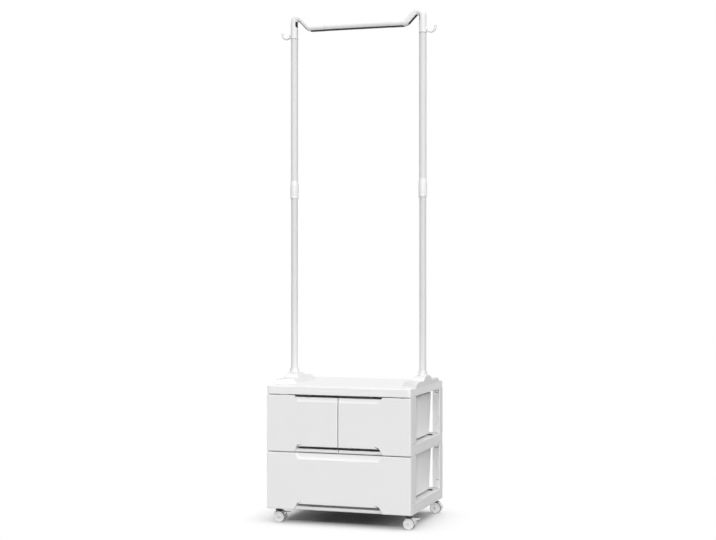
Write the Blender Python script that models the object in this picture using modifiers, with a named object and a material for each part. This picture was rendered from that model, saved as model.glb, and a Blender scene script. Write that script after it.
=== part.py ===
"""Coat stand: a plastic chest of three drawers on castors that carries a telescopic hanging frame.

Metres, +Z up. The origin is on the floor under the middle of the chest. The drawers open
towards -Y, and +X is on the right of someone who faces them.
"""

import math

import bmesh
import bpy
from mathutils import Matrix, Vector

# Clearances
FIT = 0.0003              # between pieces that sit on, or in, each other
CLOSING_GAP = 0.0005      # a shut drawer front to the frames behind it
FRONT_GAP = 0.0025        # between neighbouring drawer fronts, and below the board
CUT_SLACK = 0.002         # how far a cutter runs past the face that it cuts
OVERLAP = 0.001           # how far joined shapes run into each other
WELD = 0.00001            # points this close become one
SMOOTH_ANGLE = math.radians(40)

# Chest: three shallow frames, open underneath, stacked on corner posts
WIDTH = 0.500             # across the frames and the drawer fronts
DEPTH = 0.405             # drawer fronts to the rear of the posts
TRAY_HEIGHT = 0.036       # base and mid frame, skirt edge to deck
TIER_HEIGHT = 0.1565      # open height from a deck to the skirt above it
BOARD_HEIGHT = 0.0275     # top board, skirt edge to top face
SKIN = 0.003              # wall of the frames and the board
BOARD_CORNER = 0.006      # radius of the board's upright corners
BOARD_CORNER_STEPS = 4
BOARD_EDGE = 0.004        # radius of the board's top edge
BOARD_EDGE_STEPS = 2
RIB_WIDTH = 0.008         # guide between the two upper drawers
RIB_HEIGHT = 0.012

# Corner posts
FRONT_POST_WIDTH = 0.022
FRONT_POST_DEPTH = 0.048
REAR_POST_WIDTH = 0.036   # back flange
REAR_POST_DEPTH = 0.044   # side flange
REAR_POST_WALL = 0.0035
TONGUE_SHOULDER = 0.004   # step of a front post round its tongue
TONGUE_REACH = 0.010      # how far a tongue enters the frame below or above
HEEL_DEPTH = 0.020        # corner block at the foot of a rear post
HEEL_HEIGHT = 0.030

# Lugs that hang from the mid frame and the board, pegged to the rear posts
LUG_WIDTH = 0.030
LUG_DROP = 0.026
LUG_WALL = 0.003
PEG_DROP = 0.0110         # skirt edge to the peg's axis
PEG_SHANK_RADIUS = 0.0055
PEG_HEAD_RADIUS = 0.0095
PEG_HEAD_HEIGHT = 0.0025
PEG_SIDES = 16

# Drawers
FRONT_WALL = 0.018        # thickness of a drawer front, over its edges
FRONT_SKIN = 0.003        # wall of a front over the pockets in its back
FRONT_EDGE = 0.003        # radius round its face
FRONT_EDGE_STEPS = 3
FRONT_FOOT = 0.002        # lowest drawer front above the base frame's edge
FRONT_DROP = 0.0011       # top of the lowest drawer front below the mid frame's edge
GRIP_HALF = 0.154         # half the length of the finger notch
GRIP_HEIGHT = 0.020
GRIP_DEPTH = 0.010
GRIP_SLANT = 0.7          # how much each end leans in, for each unit of height
LIP_RISE = 0.0095         # lip at the foot of the notch; the wall is open above it
WINDOW_HALF = 0.160       # half the length of the finger window in the frame behind a notch
WINDOW_DROP = 0.0035      # lip's upper edge to the window's lower edge
WINDOW_HEIGHT = 0.018
SCOOP_HEIGHT = 0.020      # sloped hollow along the top edge
SCOOP_DEPTH = 0.009
TUB_WALL = 0.0025
TUB_SETBACK = 0.051       # rear of a tub to the rear of the posts
TUB_DRAFT = 0.006         # how much narrower the floor is on each side
TUB_REAR_DRAFT = 0.0030   # how much shorter the floor is at the rear
TUB_CLEARANCE = 0.006     # to the posts and to the guide rib
TUB_HEADROOM = 0.011      # to the skirt above
CLIP_WIDTH = 0.024        # clips that hold a front on its tub
CLIP_HEIGHT = 0.010
CLIP_REACH = 0.006
CLIP_INSET = 0.040        # from the side of the tub's floor
CLIP_RISE = 0.095         # above the tub's floor
CLIP_BOSS = 0.004         # wall of a front beside a clip

# Pole brackets with a scalloped outline
POLE_INSET = 0.0185       # pole axis to the side of the chest
BRACKET_WIDTH = 0.063
BRACKET_HALF = 0.148      # half its length on the outer side
BRACKET_INNER_HALF = 0.095
SEAT_DEPTH = 0.0008       # recess in the board that takes the bracket's foot
CENTRE_LOBE_HALF = 0.052
CENTRE_LOBE_HEIGHT = 0.032
SIDE_LOBE_HEIGHT = 0.0165
SIDE_LOBE_HALF = 0.063
LOBE_POWER = 2.5
LOBE_POINTS = 32
BRACKET_FLOOR = 0.014     # solid foot under the pole
SLOPE_RUN = 0.028         # inner face, leaning back over the bracket's height
COLLAR_WALL = 0.0052
COLLAR_LIP = 0.0030       # wall at the collar's top
COLLAR_HEIGHT = 0.013
SCREW_SPREAD = 0.080      # screw to the pole, along the bracket
SCREW_RADIUS = 0.002
SCREW_HEAD_RADIUS = 0.0045
SCREW_HEAD_HEIGHT = 0.0025
SCREW_GRIP = 0.009        # length in the bracket
SCREW_SIDES = 10

# Telescopic poles and the hanging rail
TUBE_RADIUS = 0.0125      # upper tubes and the rail
TUBE_WALL = 0.0006
LOWER_WALL = 0.001
POLE_RISE = 0.6325        # board to the lower edge of the lock nut
UPPER_LENGTH = 0.5351
TUBE_OVERLAP = 0.100      # lower tube inside the upper one
TUBE_SIDES = 24
NUT_HEIGHT = 0.0140
SLEEVE_HEIGHT = 0.0480
SLEEVE_WALL = 0.0016
SLEEVE_LIP = 0.0004       # wall at the sleeve's top, and at the nut's lower edge
SLEEVE_TAPER = 0.016
SLEEVE_STEP = 0.0045      # seat under the upper tube's end

# Goosenecks that join the poles to the rail, each with a coat hook
NECK_STEP = 0.0005        # neck over the tube that it continues
NECK_RUN = 0.1125         # pole axis to the end of the rail
RAIL_RISE = 0.0369        # collar edge to the rail's axis
CREST_RISE = 0.0854       # collar edge to the top of the crest
CREST_INNER = 0.0025      # inner radius of the bend at the crest
CREST_TURN = math.radians(136)
CREST_STEPS = 10
FOOT_RADIUS = 0.020       # bend of the axis down at the rail
FOOT_STEPS = 4
NECK_RESOLUTION = 6
SPIGOT_LENGTH = 0.028     # neck inside a tube
HOOK_RADIUS = 0.00425     # half the thickness
HOOK_BEND = 0.0145
HOOK_ROOM = 0.001         # neck to the bend's inner end
HOOK_RISE = 0.0171        # collar edge to the centre of the hook's bend
HOOK_START = math.radians(200)
HOOK_END = math.radians(350)
HOOK_TIP = 0.012          # straight end after the bend
HOOK_STEPS = 8
HOOK_RESOLUTION = 3

# Castors
CASTOR_INSET_X = 0.0235   # swivel axis to the side of the frame
CASTOR_INSET_Y = 0.027    # swivel axis to the front or rear of the frame
TRAIL = 0.006             # axle behind the swivel axis
WHEEL_RADIUS = 0.019
WHEEL_WIDTH = 0.009
WHEEL_EDGE = 0.0012
WHEEL_SIDES = 22
WEB_WIDTH = 0.0064        # part of the hood between the wheels
WEB_RADIUS = 0.012
SIDE_GAP = 0.0004         # wheel to web
AXLE_RADIUS = 0.002
AXLE_SIDES = 12
BAND_GAP = 0.0014         # wheel to the hood's band
BAND_WALL = 0.002
BAND_START = math.radians(-8)
BAND_END = math.radians(138)
BAND_STEPS = 12
HOOD_NECK_HALF = 0.007    # upright of the hood under the stem
HOOD_RISE = 0.0061        # top of the hood's boss above the band
HOOD_BOSS_RADIUS = 0.008
STEM_RADIUS = 0.004
STEM_FLANGE_RADIUS = 0.0070
STEM_FLANGE_HEIGHT = 0.0019
STEM_SEAT = 0.006         # stem inside the hood
STEM_COVER = 0.002        # stem's upper end to the tongues in the base frame
STEM_SIDES = 16
SOCKET_WALL = 0.005       # socket of a stem in the base frame
LEVER_ANGLE = math.radians(35)
LEVER_TILT = math.radians(14)
LEVER_KNUCKLE = 0.0026
LEVER_LENGTH = 0.015
LEVER_WALL = 0.0034
LEVER_WIDTH = 0.013
TRUNNION_RADIUS = 0.0013
TRUNNION_SIDES = 10
EAR_SEAT = 0.0008         # how far a lever's ear sinks into the band
EAR_WIDTH = 0.0026

# Places that follow from the dimensions
FRONT_Y = -DEPTH / 2
FRAME_FRONT = FRONT_Y + FRONT_WALL + CLOSING_GAP
REAR_Y = DEPTH / 2
SIDE_X = WIDTH / 2
POLE_X = SIDE_X - POLE_INSET
POLE_Y = (FRAME_FRONT + REAR_Y) / 2
BAND_INNER = WHEEL_RADIUS + BAND_GAP
BAND_OUTER = BAND_INNER + BAND_WALL
HOOD_TOP = WHEEL_RADIUS + BAND_OUTER + HOOD_RISE
FLOOR_CLEARANCE = HOOD_TOP + STEM_FLANGE_HEIGHT + 2 * FIT
BASE_DECK = FLOOR_CLEARANCE + TRAY_HEIGHT
MID_BOTTOM = BASE_DECK + TIER_HEIGHT
MID_DECK = MID_BOTTOM + TRAY_HEIGHT
BOARD_BOTTOM = MID_DECK + TIER_HEIGHT
BOARD_TOP = BOARD_BOTTOM + BOARD_HEIGHT
POST_INNER_X = SIDE_X - FRONT_POST_WIDTH
TONGUE_OUTER_X = SIDE_X - SKIN - 2 * FIT
TONGUE_INNER_X = POST_INNER_X + TONGUE_SHOULDER
TONGUE_FRONT = FRAME_FRONT + SKIN + 2 * FIT
TONGUE_REAR = FRAME_FRONT + FRONT_POST_DEPTH - TONGUE_SHOULDER
LUG_REAR = REAR_Y - REAR_POST_WALL - FIT
LUG_X = SIDE_X - REAR_POST_WIDTH / 2 - REAR_POST_WALL / 2
LOWER_FRONT_LOW = FLOOR_CLEARANCE + FRONT_FOOT
LOWER_FRONT_TOP = MID_BOTTOM - FRONT_DROP
UPPER_FRONT_LOW = LOWER_FRONT_TOP + FRONT_GAP
UPPER_FRONT_TOP = BOARD_BOTTOM - FRONT_GAP
TUB_FRONT = FRONT_Y + FRONT_WALL + FIT
TUB_REAR = REAR_Y - TUB_SETBACK
BRACKET_BOTTOM = BOARD_TOP - SEAT_DEPTH + FIT
BRACKET_INNER_X = SIDE_X - BRACKET_WIDTH
COLLAR_TOP = BRACKET_BOTTOM + CENTRE_LOBE_HEIGHT + COLLAR_HEIGHT
LOWER_RADIUS = TUBE_RADIUS - TUBE_WALL - FIT
LOWER_BOTTOM = BRACKET_BOTTOM + BRACKET_FLOOR + FIT
NUT_BOTTOM = BOARD_TOP + POLE_RISE
NUT_TOP = NUT_BOTTOM + NUT_HEIGHT
SLEEVE_FOOT = NUT_TOP + FIT
UPPER_BOTTOM = SLEEVE_FOOT + SLEEVE_STEP + FIT
LOWER_TOP = UPPER_BOTTOM + TUBE_OVERLAP
NECK_BOTTOM = UPPER_BOTTOM + UPPER_LENGTH + FIT
NECK_RADIUS = TUBE_RADIUS + NECK_STEP
RAIL_Z = NECK_BOTTOM + RAIL_RISE
RAIL_HALF = POLE_X - NECK_RUN
AXLE_HALF = WEB_WIDTH / 2 + SIDE_GAP + WHEEL_WIDTH - FIT
BAND_HALF = AXLE_HALF + FIT
CASTOR_X = SIDE_X - CASTOR_INSET_X
CASTOR_FRONT_Y = FRAME_FRONT + CASTOR_INSET_Y
CASTOR_REAR_Y = REAR_Y - CASTOR_INSET_Y
STEM_TOP = BASE_DECK - TONGUE_REACH - STEM_COVER
LEVER_ROOM = LEVER_KNUCKLE + 2 * FIT
EAR_RADIUS = LEVER_ROOM + EAR_SEAT
LEVER_REACH = BAND_OUTER + LEVER_ROOM
LEVER_PIVOT = Vector((
    TRAIL + LEVER_REACH * math.cos(LEVER_ANGLE), 0.0,
    WHEEL_RADIUS + LEVER_REACH * math.sin(LEVER_ANGLE)))

SIDES = {"left": -1, "right": 1}
TIERS = {"lower": (BASE_DECK, MID_BOTTOM), "upper": (MID_DECK, BOARD_BOTTOM)}

for old in list(bpy.data.objects):
    bpy.data.objects.remove(old)

PARTS = bpy.data.collections.new("coat_stand")
TOOLS = bpy.data.collections.new("coat_stand_cutters")
bpy.context.scene.collection.children.link(PARTS)
bpy.context.scene.collection.children.link(TOOLS)


def finish(name, colour, roughness, metallic=0.0):
    """Principled material of one colour, given in linear light."""
    material = bpy.data.materials.new(name)
    material.use_nodes = True
    shader = material.node_tree.nodes["Principled BSDF"]
    shader.inputs["Base Color"].default_value = (*colour, 1.0)
    shader.inputs["Roughness"].default_value = roughness
    shader.inputs["Metallic"].default_value = metallic
    return material


FRAME_PLASTIC = finish("frame_plastic", (0.82, 0.82, 0.83), 0.45)
BOARD_PLASTIC = finish("board_plastic", (0.86, 0.86, 0.87), 0.40)
FRONT_PLASTIC = finish("front_plastic", (0.83, 0.83, 0.84), 0.35)
TUB_PLASTIC = finish("tub_plastic", (0.80, 0.80, 0.81), 0.50)
FITTING_PLASTIC = finish("fitting_plastic", (0.85, 0.85, 0.86), 0.40)
POLE_PAINT = finish("pole_paint", (0.78, 0.78, 0.79), 0.35)
CASTOR_PLASTIC = finish("castor_plastic", (0.76, 0.76, 0.77), 0.45)
WHEEL_PLASTIC = finish("wheel_plastic", (0.70, 0.70, 0.71), 0.50)
STEEL = finish("zinc_steel", (0.60, 0.61, 0.63), 0.35, 1.0)


def shape(mesh, location=(0.0, 0.0, 0.0)):
    """A mesh as a hidden helper, ready to cut, to join or to become a part."""
    obj = bpy.data.objects.new("helper", mesh)
    obj.location = location
    obj.hide_render = True
    obj.display_type = "WIRE"
    TOOLS.objects.link(obj)
    return obj


def evaluated(helper, material):
    """Mesh of a helper with its modifiers applied, shaded smooth between its sharp edges."""
    bpy.context.view_layer.update()
    graph = bpy.context.evaluated_depsgraph_get()
    mesh = bpy.data.meshes.new_from_object(helper.evaluated_get(graph))
    mesh.materials.clear()
    mesh.materials.append(material)
    mesh.shade_smooth()
    mesh.set_sharp_from_angle(angle=SMOOTH_ANGLE)
    return mesh


def part(helper, name, material):
    """Makes a helper's shape a visible, named part with the helper's origin."""
    mesh = evaluated(helper, material)
    mesh.name = name
    obj = bpy.data.objects.new(name, mesh)
    obj.matrix_world = helper.matrix_world
    PARTS.objects.link(obj)


def baked(helper, material):
    """A helper's shape as a mesh in world coordinates, for pieces that are repeated."""
    mesh = evaluated(helper, material)
    mesh.transform(helper.matrix_world)
    return mesh


def copy_of(mesh, name, location, parent=None, rotation=(0.0, 0.0, 0.0)):
    """One more part that shares a mesh and its material."""
    obj = bpy.data.objects.new(name, mesh)
    obj.location = location
    obj.rotation_euler = rotation
    obj.parent = parent
    PARTS.objects.link(obj)


def combine(body, tool, operation):
    modifier = body.modifiers.new(operation.lower(), "BOOLEAN")
    modifier.operation = operation
    modifier.object = tool
    return body


def cut(body, tool):
    return combine(body, tool, "DIFFERENCE")


def join(body, tool):
    return combine(body, tool, "UNION")


def block(low, high, rounds=()):
    """Box between two corners. Each round is (radius, steps, test of an edge's middle and run)."""
    low, high = Vector(low), Vector(high)
    size = high - low
    grid = bmesh.new()
    bmesh.ops.create_cube(grid, size=1.0)
    bmesh.ops.scale(grid, vec=size, verts=grid.verts)
    for radius, steps, wanted in rounds:
        chosen = []
        for edge in grid.edges:
            start, end = edge.verts
            middle = (start.co + end.co) / 2
            run = (end.co - start.co).normalized()
            if wanted(middle, run):
                chosen.append(edge)
        bmesh.ops.bevel(grid, geom=chosen, offset=radius, segments=steps, profile=0.5, affect="EDGES")
    mesh = bpy.data.meshes.new("block")
    grid.to_mesh(mesh)
    grid.free()
    return shape(mesh, (low + high) / 2)


def tapered_block(low, high, draft, rear_draft):
    """Box whose floor is narrower than its top by a draft at the sides and another at the rear."""
    body = block(low, high)
    for vertex in body.data.vertices:
        if vertex.co.z < 0:
            vertex.co.x -= math.copysign(draft, vertex.co.x)
            if vertex.co.y > 0:
                vertex.co.y -= rear_draft
    return body


def turned(profile, steps, location=(0.0, 0.0, 0.0), rotation=(0.0, 0.0, 0.0)):
    """Solid turned about Z from (radius, height) points that run out, down and back in."""
    closed = min(radius for radius, _ in profile) > 0
    points = [(radius, 0.0, height) for radius, height in profile]
    links = [(i, i + 1) for i in range(len(points) - 1)]
    if closed:
        links.append((len(points) - 1, 0))
    mesh = bpy.data.meshes.new("turned")
    mesh.from_pydata(points, links, [])
    body = shape(mesh, location)
    body.rotation_euler = rotation
    screw = body.modifiers.new("turn", "SCREW")
    screw.axis = "Z"
    screw.angle = 2 * math.pi
    screw.steps = steps
    screw.render_steps = steps
    screw.use_merge_vertices = True
    screw.merge_threshold = WELD
    return body


def rod(radius, low, high, steps, location=(0.0, 0.0, 0.0), rotation=(0.0, 0.0, 0.0)):
    """Plain round bar about Z between two heights."""
    return turned([(0.0, high), (radius, high), (radius, low), (0.0, low)], steps, location, rotation)


def bore_radius(radius, steps):
    """Corner radius of a faceted hole that clears a round piece of the given radius."""
    return (radius + FIT) / math.cos(math.pi / steps)


def curve_mesh(curve):
    """A curve object's surface as a closed mesh."""
    guide = bpy.data.objects.new("guide", curve)
    TOOLS.objects.link(guide)
    bpy.context.view_layer.update()
    graph = bpy.context.evaluated_depsgraph_get()
    mesh = bpy.data.meshes.new_from_object(guide.evaluated_get(graph))
    bpy.data.objects.remove(guide)
    grid = bmesh.new()
    grid.from_mesh(mesh)
    bmesh.ops.remove_doubles(grid, verts=grid.verts, dist=WELD)
    bmesh.ops.recalc_face_normals(grid, faces=grid.faces)
    grid.to_mesh(mesh)
    grid.free()
    return mesh


def prism(outline, thickness, across, up, origin):
    """Flat outline in the plane of two directions, extruded by half the thickness to each side."""
    curve = bpy.data.curves.new("outline", "CURVE")
    curve.dimensions = "2D"
    curve.fill_mode = "BOTH"
    curve.extrude = thickness / 2
    spline = curve.splines.new("POLY")
    spline.points.add(len(outline) - 1)
    for point, (x, y) in zip(spline.points, outline):
        point.co = (x, y, 0.0, 1.0)
    spline.use_cyclic_u = True
    body = shape(curve_mesh(curve))
    across, up = Vector(across).normalized(), Vector(up).normalized()
    turn = Matrix((across, up, across.cross(up))).transposed()
    body.matrix_world = Matrix.Translation(origin) @ turn.to_4x4()
    return body


def bent_rod(path, radius, resolution):
    """Round bar along points, with flat ends."""
    curve = bpy.data.curves.new("path", "CURVE")
    curve.dimensions = "3D"
    curve.bevel_depth = radius
    curve.bevel_resolution = resolution
    curve.use_fill_caps = True
    spline = curve.splines.new("POLY")
    spline.points.add(len(path) - 1)
    for point, place in zip(spline.points, path):
        point.co = (*place, 1.0)
    return shape(curve_mesh(curve))


def arc(centre, radius, start, end, steps):
    """Points of an arc in a plane, from one angle to another."""
    turns = [start + (end - start) * i / steps for i in range(steps + 1)]
    return [(centre[0] + radius * math.cos(a), centre[1] + radius * math.sin(a)) for a in turns]


def span(a, b):
    return min(a, b), max(a, b)


X_AXIS = (1.0, 0.0, 0.0)
Y_AXIS = (0.0, 1.0, 0.0)
Z_AXIS = (0.0, 0.0, 1.0)
SIDEWAYS = (math.pi / 2, 0.0, 0.0)   # turns a round piece about Z to lie along Y


def tray(bottom, top, front, rounds=(), hollow_rounds=()):
    """Shallow frame: a deck with a skirt all round, open underneath."""
    body = block((-SIDE_X, front, bottom), (SIDE_X, REAR_Y, top), rounds)
    hollow = block(
        (-SIDE_X + SKIN, front + SKIN, bottom - CUT_SLACK),
        (SIDE_X - SKIN, REAR_Y - SKIN, top - SKIN), hollow_rounds)
    return cut(body, hollow)


def tongue_box(side, low_z, high_z, gap=0.0):
    """Tongue of a front post between two heights, made wider all round by a gap."""
    x0, x1 = span(side * (TONGUE_OUTER_X + gap), side * (TONGUE_INNER_X - gap))
    return block((x0, TONGUE_FRONT - gap, low_z), (x1, TONGUE_REAR + gap, high_z))


def heel_box(side, low_z, high_z, gap=0.0):
    """Corner block at the foot of a rear post, made wider all round by a gap."""
    x0, x1 = span(side * (TONGUE_OUTER_X + gap), side * (TONGUE_INNER_X - gap))
    y1 = REAR_Y - SKIN - 2 * FIT
    return block((x0, y1 - HEEL_DEPTH - gap, low_z), (x1, y1 + gap, high_z))


def cut_post_slots(body, deck):
    """Slots in a deck for the feet of the posts that stand on it."""
    for side in SIDES.values():
        for slot in (tongue_box, heel_box):
            cut(body, slot(side, deck - TONGUE_REACH - FIT, deck + CUT_SLACK, FIT))


def add_lugs(body, skirt, deck):
    """Lugs that hang behind the skirt's edge at the rear corners, each with its peg hole."""
    for side in SIDES.values():
        x = side * LUG_X
        lug = block(
            (x - LUG_WIDTH / 2, LUG_REAR - LUG_WALL, skirt - LUG_DROP),
            (x + LUG_WIDTH / 2, LUG_REAR, deck - SKIN + OVERLAP))
        join(body, lug)
        cut(body, peg_hole(side, skirt))


def peg_hole(side, skirt):
    """Hole for a peg through a lug and the post's back flange."""
    reach = LUG_WALL + REAR_POST_WALL + CUT_SLACK
    return rod(
        bore_radius(PEG_SHANK_RADIUS, PEG_SIDES), -reach, reach, PEG_SIDES,
        (side * LUG_X, LUG_REAR, skirt - PEG_DROP), SIDEWAYS)


def cut_finger_window(body, front_low):
    """Window in a frame's front skirt, behind the notch of a drawer front with the given lower edge."""
    low = front_low + LIP_RISE - WINDOW_DROP
    window = block(
        (-WINDOW_HALF, FRAME_FRONT - CUT_SLACK, low),
        (WINDOW_HALF, FRAME_FRONT + SKIN + CUT_SLACK, low + WINDOW_HEIGHT))
    cut(body, window)


def base_frame():
    body = tray(FLOOR_CLEARANCE, BASE_DECK, FRAME_FRONT)
    cut_finger_window(body, LOWER_FRONT_LOW)
    hole = bore_radius(STEM_RADIUS, STEM_SIDES)
    for side in SIDES.values():
        for y in (CASTOR_FRONT_Y, CASTOR_REAR_Y):
            place = (side * CASTOR_X, y, 0.0)
            socket_top = BASE_DECK - SKIN + OVERLAP
            join(body, rod(hole + SOCKET_WALL, FLOOR_CLEARANCE, socket_top, STEM_SIDES, place))
            cut(body, rod(hole, FLOOR_CLEARANCE - CUT_SLACK, STEM_TOP + FIT, STEM_SIDES, place))
    cut_post_slots(body, BASE_DECK)
    part(body, "base_frame", FRAME_PLASTIC)


def mid_frame():
    body = tray(MID_BOTTOM, MID_DECK, FRAME_FRONT)
    cut_finger_window(body, UPPER_FRONT_LOW)
    rib = block(
        (-RIB_WIDTH / 2, FRAME_FRONT + FRONT_POST_DEPTH, MID_DECK - OVERLAP),
        (RIB_WIDTH / 2, TUB_REAR, MID_DECK + RIB_HEIGHT))
    join(body, rib)
    add_lugs(body, MID_BOTTOM, MID_DECK)
    cut_post_slots(body, MID_DECK)
    part(body, "mid_frame", FRAME_PLASTIC)


def top_board():
    """Board with rounded corners and top edge, and a recess at each side for a pole bracket."""
    def upright(middle, run):
        return abs(run.z) > 0.9

    def upper(middle, run):
        return middle.z > BOARD_HEIGHT / 2 - FIT and abs(run.z) < 0.1

    rounds = ((BOARD_CORNER, BOARD_CORNER_STEPS, upright), (BOARD_EDGE, BOARD_EDGE_STEPS, upper))
    hollow_rounds = ((BOARD_CORNER - SKIN, BOARD_CORNER_STEPS, upright),)
    body = tray(BOARD_BOTTOM, BOARD_TOP, FRONT_Y, rounds, hollow_rounds)
    add_lugs(body, BOARD_BOTTOM, BOARD_TOP)
    for side in SIDES.values():
        inner, outer = side * (BRACKET_INNER_X - FIT), side * (SIDE_X + CUT_SLACK)
        near, far = BRACKET_INNER_HALF + FIT, BRACKET_HALF + FIT
        seat = [(inner, -near), (outer, -far), (outer, far), (inner, near)]
        cut(body, prism(seat, 2 * SEAT_DEPTH, X_AXIS, Y_AXIS, (0.0, POLE_Y, BOARD_TOP)))
        for end in (-1, 1):
            place = (side * POLE_X, POLE_Y + end * SCREW_SPREAD, 0.0)
            hole = bore_radius(SCREW_RADIUS, SCREW_SIDES)
            cut(body, rod(hole, BOARD_TOP - SKIN - CUT_SLACK, BOARD_TOP + CUT_SLACK, SCREW_SIDES, place))
    part(body, "top_board", BOARD_PLASTIC)


def front_post(name, side, deck, skirt):
    """Square post whose tongue enters the deck below and the skirt above."""
    x0, x1 = span(side * POST_INNER_X, side * SIDE_X)
    body = block((x0, FRAME_FRONT, deck + FIT), (x1, FRAME_FRONT + FRONT_POST_DEPTH, skirt - FIT))
    join(body, tongue_box(side, deck - TONGUE_REACH, skirt + TONGUE_REACH))
    part(body, name, FRAME_PLASTIC)


def rear_post(name, side, deck, skirt):
    """Angle post with a heel in the deck below, pegged to the lug of the frame above."""
    outer, wall = side * SIDE_X, side * REAR_POST_WALL
    inner = side * (SIDE_X - REAR_POST_WIDTH)
    outline = [
        (outer, REAR_Y), (outer, REAR_Y - REAR_POST_DEPTH), (outer - wall, REAR_Y - REAR_POST_DEPTH),
        (outer - wall, REAR_Y - REAR_POST_WALL), (inner, REAR_Y - REAR_POST_WALL), (inner, REAR_Y)]
    low, high = deck + FIT, skirt - FIT
    body = prism(outline, high - low, X_AXIS, Y_AXIS, (0.0, 0.0, (low + high) / 2))
    join(body, heel_box(side, low, deck + HEEL_HEIGHT, OVERLAP))
    join(body, heel_box(side, deck - TONGUE_REACH, deck + HEEL_HEIGHT - OVERLAP))
    cut(body, peg_hole(side, skirt))
    part(body, name, FRAME_PLASTIC)


def lock_pegs():
    """Push pegs with a round head in front of the lug."""
    shank_end = LUG_WALL + REAR_POST_WALL + FIT
    head = -FIT - PEG_HEAD_HEIGHT
    profile = [
        (0.0, shank_end), (PEG_SHANK_RADIUS, shank_end), (PEG_SHANK_RADIUS, -FIT),
        (PEG_HEAD_RADIUS, -FIT), (PEG_HEAD_RADIUS, head), (0.0, head)]
    mesh = baked(turned(profile, PEG_SIDES), FITTING_PLASTIC)
    for tier, (_, skirt) in TIERS.items():
        for name, side in SIDES.items():
            place = (side * LUG_X, LUG_REAR - LUG_WALL, skirt - PEG_DROP)
            copy_of(mesh, f"lock_peg_{tier}_{name}", place, rotation=(-math.pi / 2, 0.0, 0.0))


def grip_cutter(bottom, low, inset, depth):
    """Finger notch at a front's lower edge, from a height above it, with ends that lean in."""
    low_half = GRIP_HALF - inset - low * GRIP_SLANT
    high_half = GRIP_HALF - inset - GRIP_HEIGHT * GRIP_SLANT
    outline = [(-low_half, low), (low_half, low), (high_half, GRIP_HEIGHT), (-high_half, GRIP_HEIGHT)]
    reach = depth + CUT_SLACK
    return prism(outline, reach, X_AXIS, Z_AXIS, (0.0, FRONT_Y - CUT_SLACK + reach / 2, bottom))


def scoop_cutter(top):
    """Sloped hollow along a front's top edge, with ends that lean in."""
    run = math.hypot(SCOOP_HEIGHT, SCOOP_DEPTH)
    up = Vector((0.0, SCOOP_DEPTH, SCOOP_HEIGHT)) / run
    out = Vector(X_AXIS).cross(up)
    low, high = -CUT_SLACK, run + CUT_SLACK
    low_half = GRIP_HALF - (run - low) * GRIP_SLANT
    high_half = GRIP_HALF - (run - high) * GRIP_SLANT
    outline = [(-low_half, low), (low_half, low), (high_half, high), (-high_half, high)]
    thickness = FRONT_WALL
    origin = Vector((0.0, FRONT_Y, top - SCOOP_HEIGHT)) + out * (thickness / 2)
    return prism(outline, thickness, X_AXIS, up, origin)


def clip_box(x, floor, gap=0.0):
    """Clip of a tub that enters the back of its front, or its pocket with a gap round it."""
    y1 = FRONT_Y + FRONT_WALL
    return block(
        (x - CLIP_WIDTH / 2 - gap, y1 - CLIP_REACH - gap, floor + CLIP_RISE - gap),
        (x + CLIP_WIDTH / 2 + gap, y1 + FIT + OVERLAP, floor + CLIP_RISE + CLIP_HEIGHT + gap))


def cut_pockets(front, x_low, x_high, clips, z_low, z_high):
    """Pockets in a front's back, between its side walls and the bosses that take the clips."""
    half = CLIP_WIDTH / 2 + CLIP_BOSS
    walls = [x_low + FRONT_SKIN]
    for x in clips:
        walls += [x - half, x + half]
    walls.append(x_high - FRONT_SKIN)
    for left, right in zip(walls[::2], walls[1::2]):
        pocket = block(
            (left, FRONT_Y + FRONT_SKIN, z_low), (right, FRONT_Y + FRONT_WALL + CUT_SLACK, z_high))
        cut(front, pocket)


def drawer(name, x_low, x_high, tub_low, tub_high, deck, skirt, front_low, front_high):
    """Overlay front with a finger notch, clipped on an open tub that slides on the deck."""
    def face(middle, run):
        return middle.y < FIT - FRONT_WALL / 2

    floor = deck + FIT
    clips = (tub_low + TUB_DRAFT + CLIP_INSET, tub_high - TUB_DRAFT - CLIP_INSET)
    front = block(
        (x_low, FRONT_Y, front_low), (x_high, FRONT_Y + FRONT_WALL, front_high),
        [(FRONT_EDGE, FRONT_EDGE_STEPS, face)])
    cut(front, grip_cutter(front_low, -CUT_SLACK, 0.0, GRIP_DEPTH))
    cut(front, grip_cutter(front_low, LIP_RISE, OVERLAP, FRONT_WALL + CUT_SLACK))
    cut(front, scoop_cutter(front_high))
    pocket_low = front_low + GRIP_HEIGHT + FRONT_SKIN
    pocket_high = front_high - SCOOP_HEIGHT - FRONT_SKIN
    cut_pockets(front, x_low, x_high, clips, pocket_low, pocket_high)
    tub_top = skirt - TUB_HEADROOM
    tub = tapered_block(
        (tub_low, TUB_FRONT, floor), (tub_high, TUB_REAR, tub_top), TUB_DRAFT, TUB_REAR_DRAFT)
    inside = tapered_block(
        (tub_low + TUB_WALL, TUB_FRONT + TUB_WALL, floor + TUB_WALL),
        (tub_high - TUB_WALL, TUB_REAR - TUB_WALL, tub_top + CUT_SLACK), TUB_DRAFT, TUB_REAR_DRAFT)
    cut(tub, inside)
    for x in clips:
        cut(front, clip_box(x, floor, FIT))
        join(tub, clip_box(x, floor))
    part(front, name + "_front", FRONT_PLASTIC)
    part(tub, name + "_tub", TUB_PLASTIC)


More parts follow.
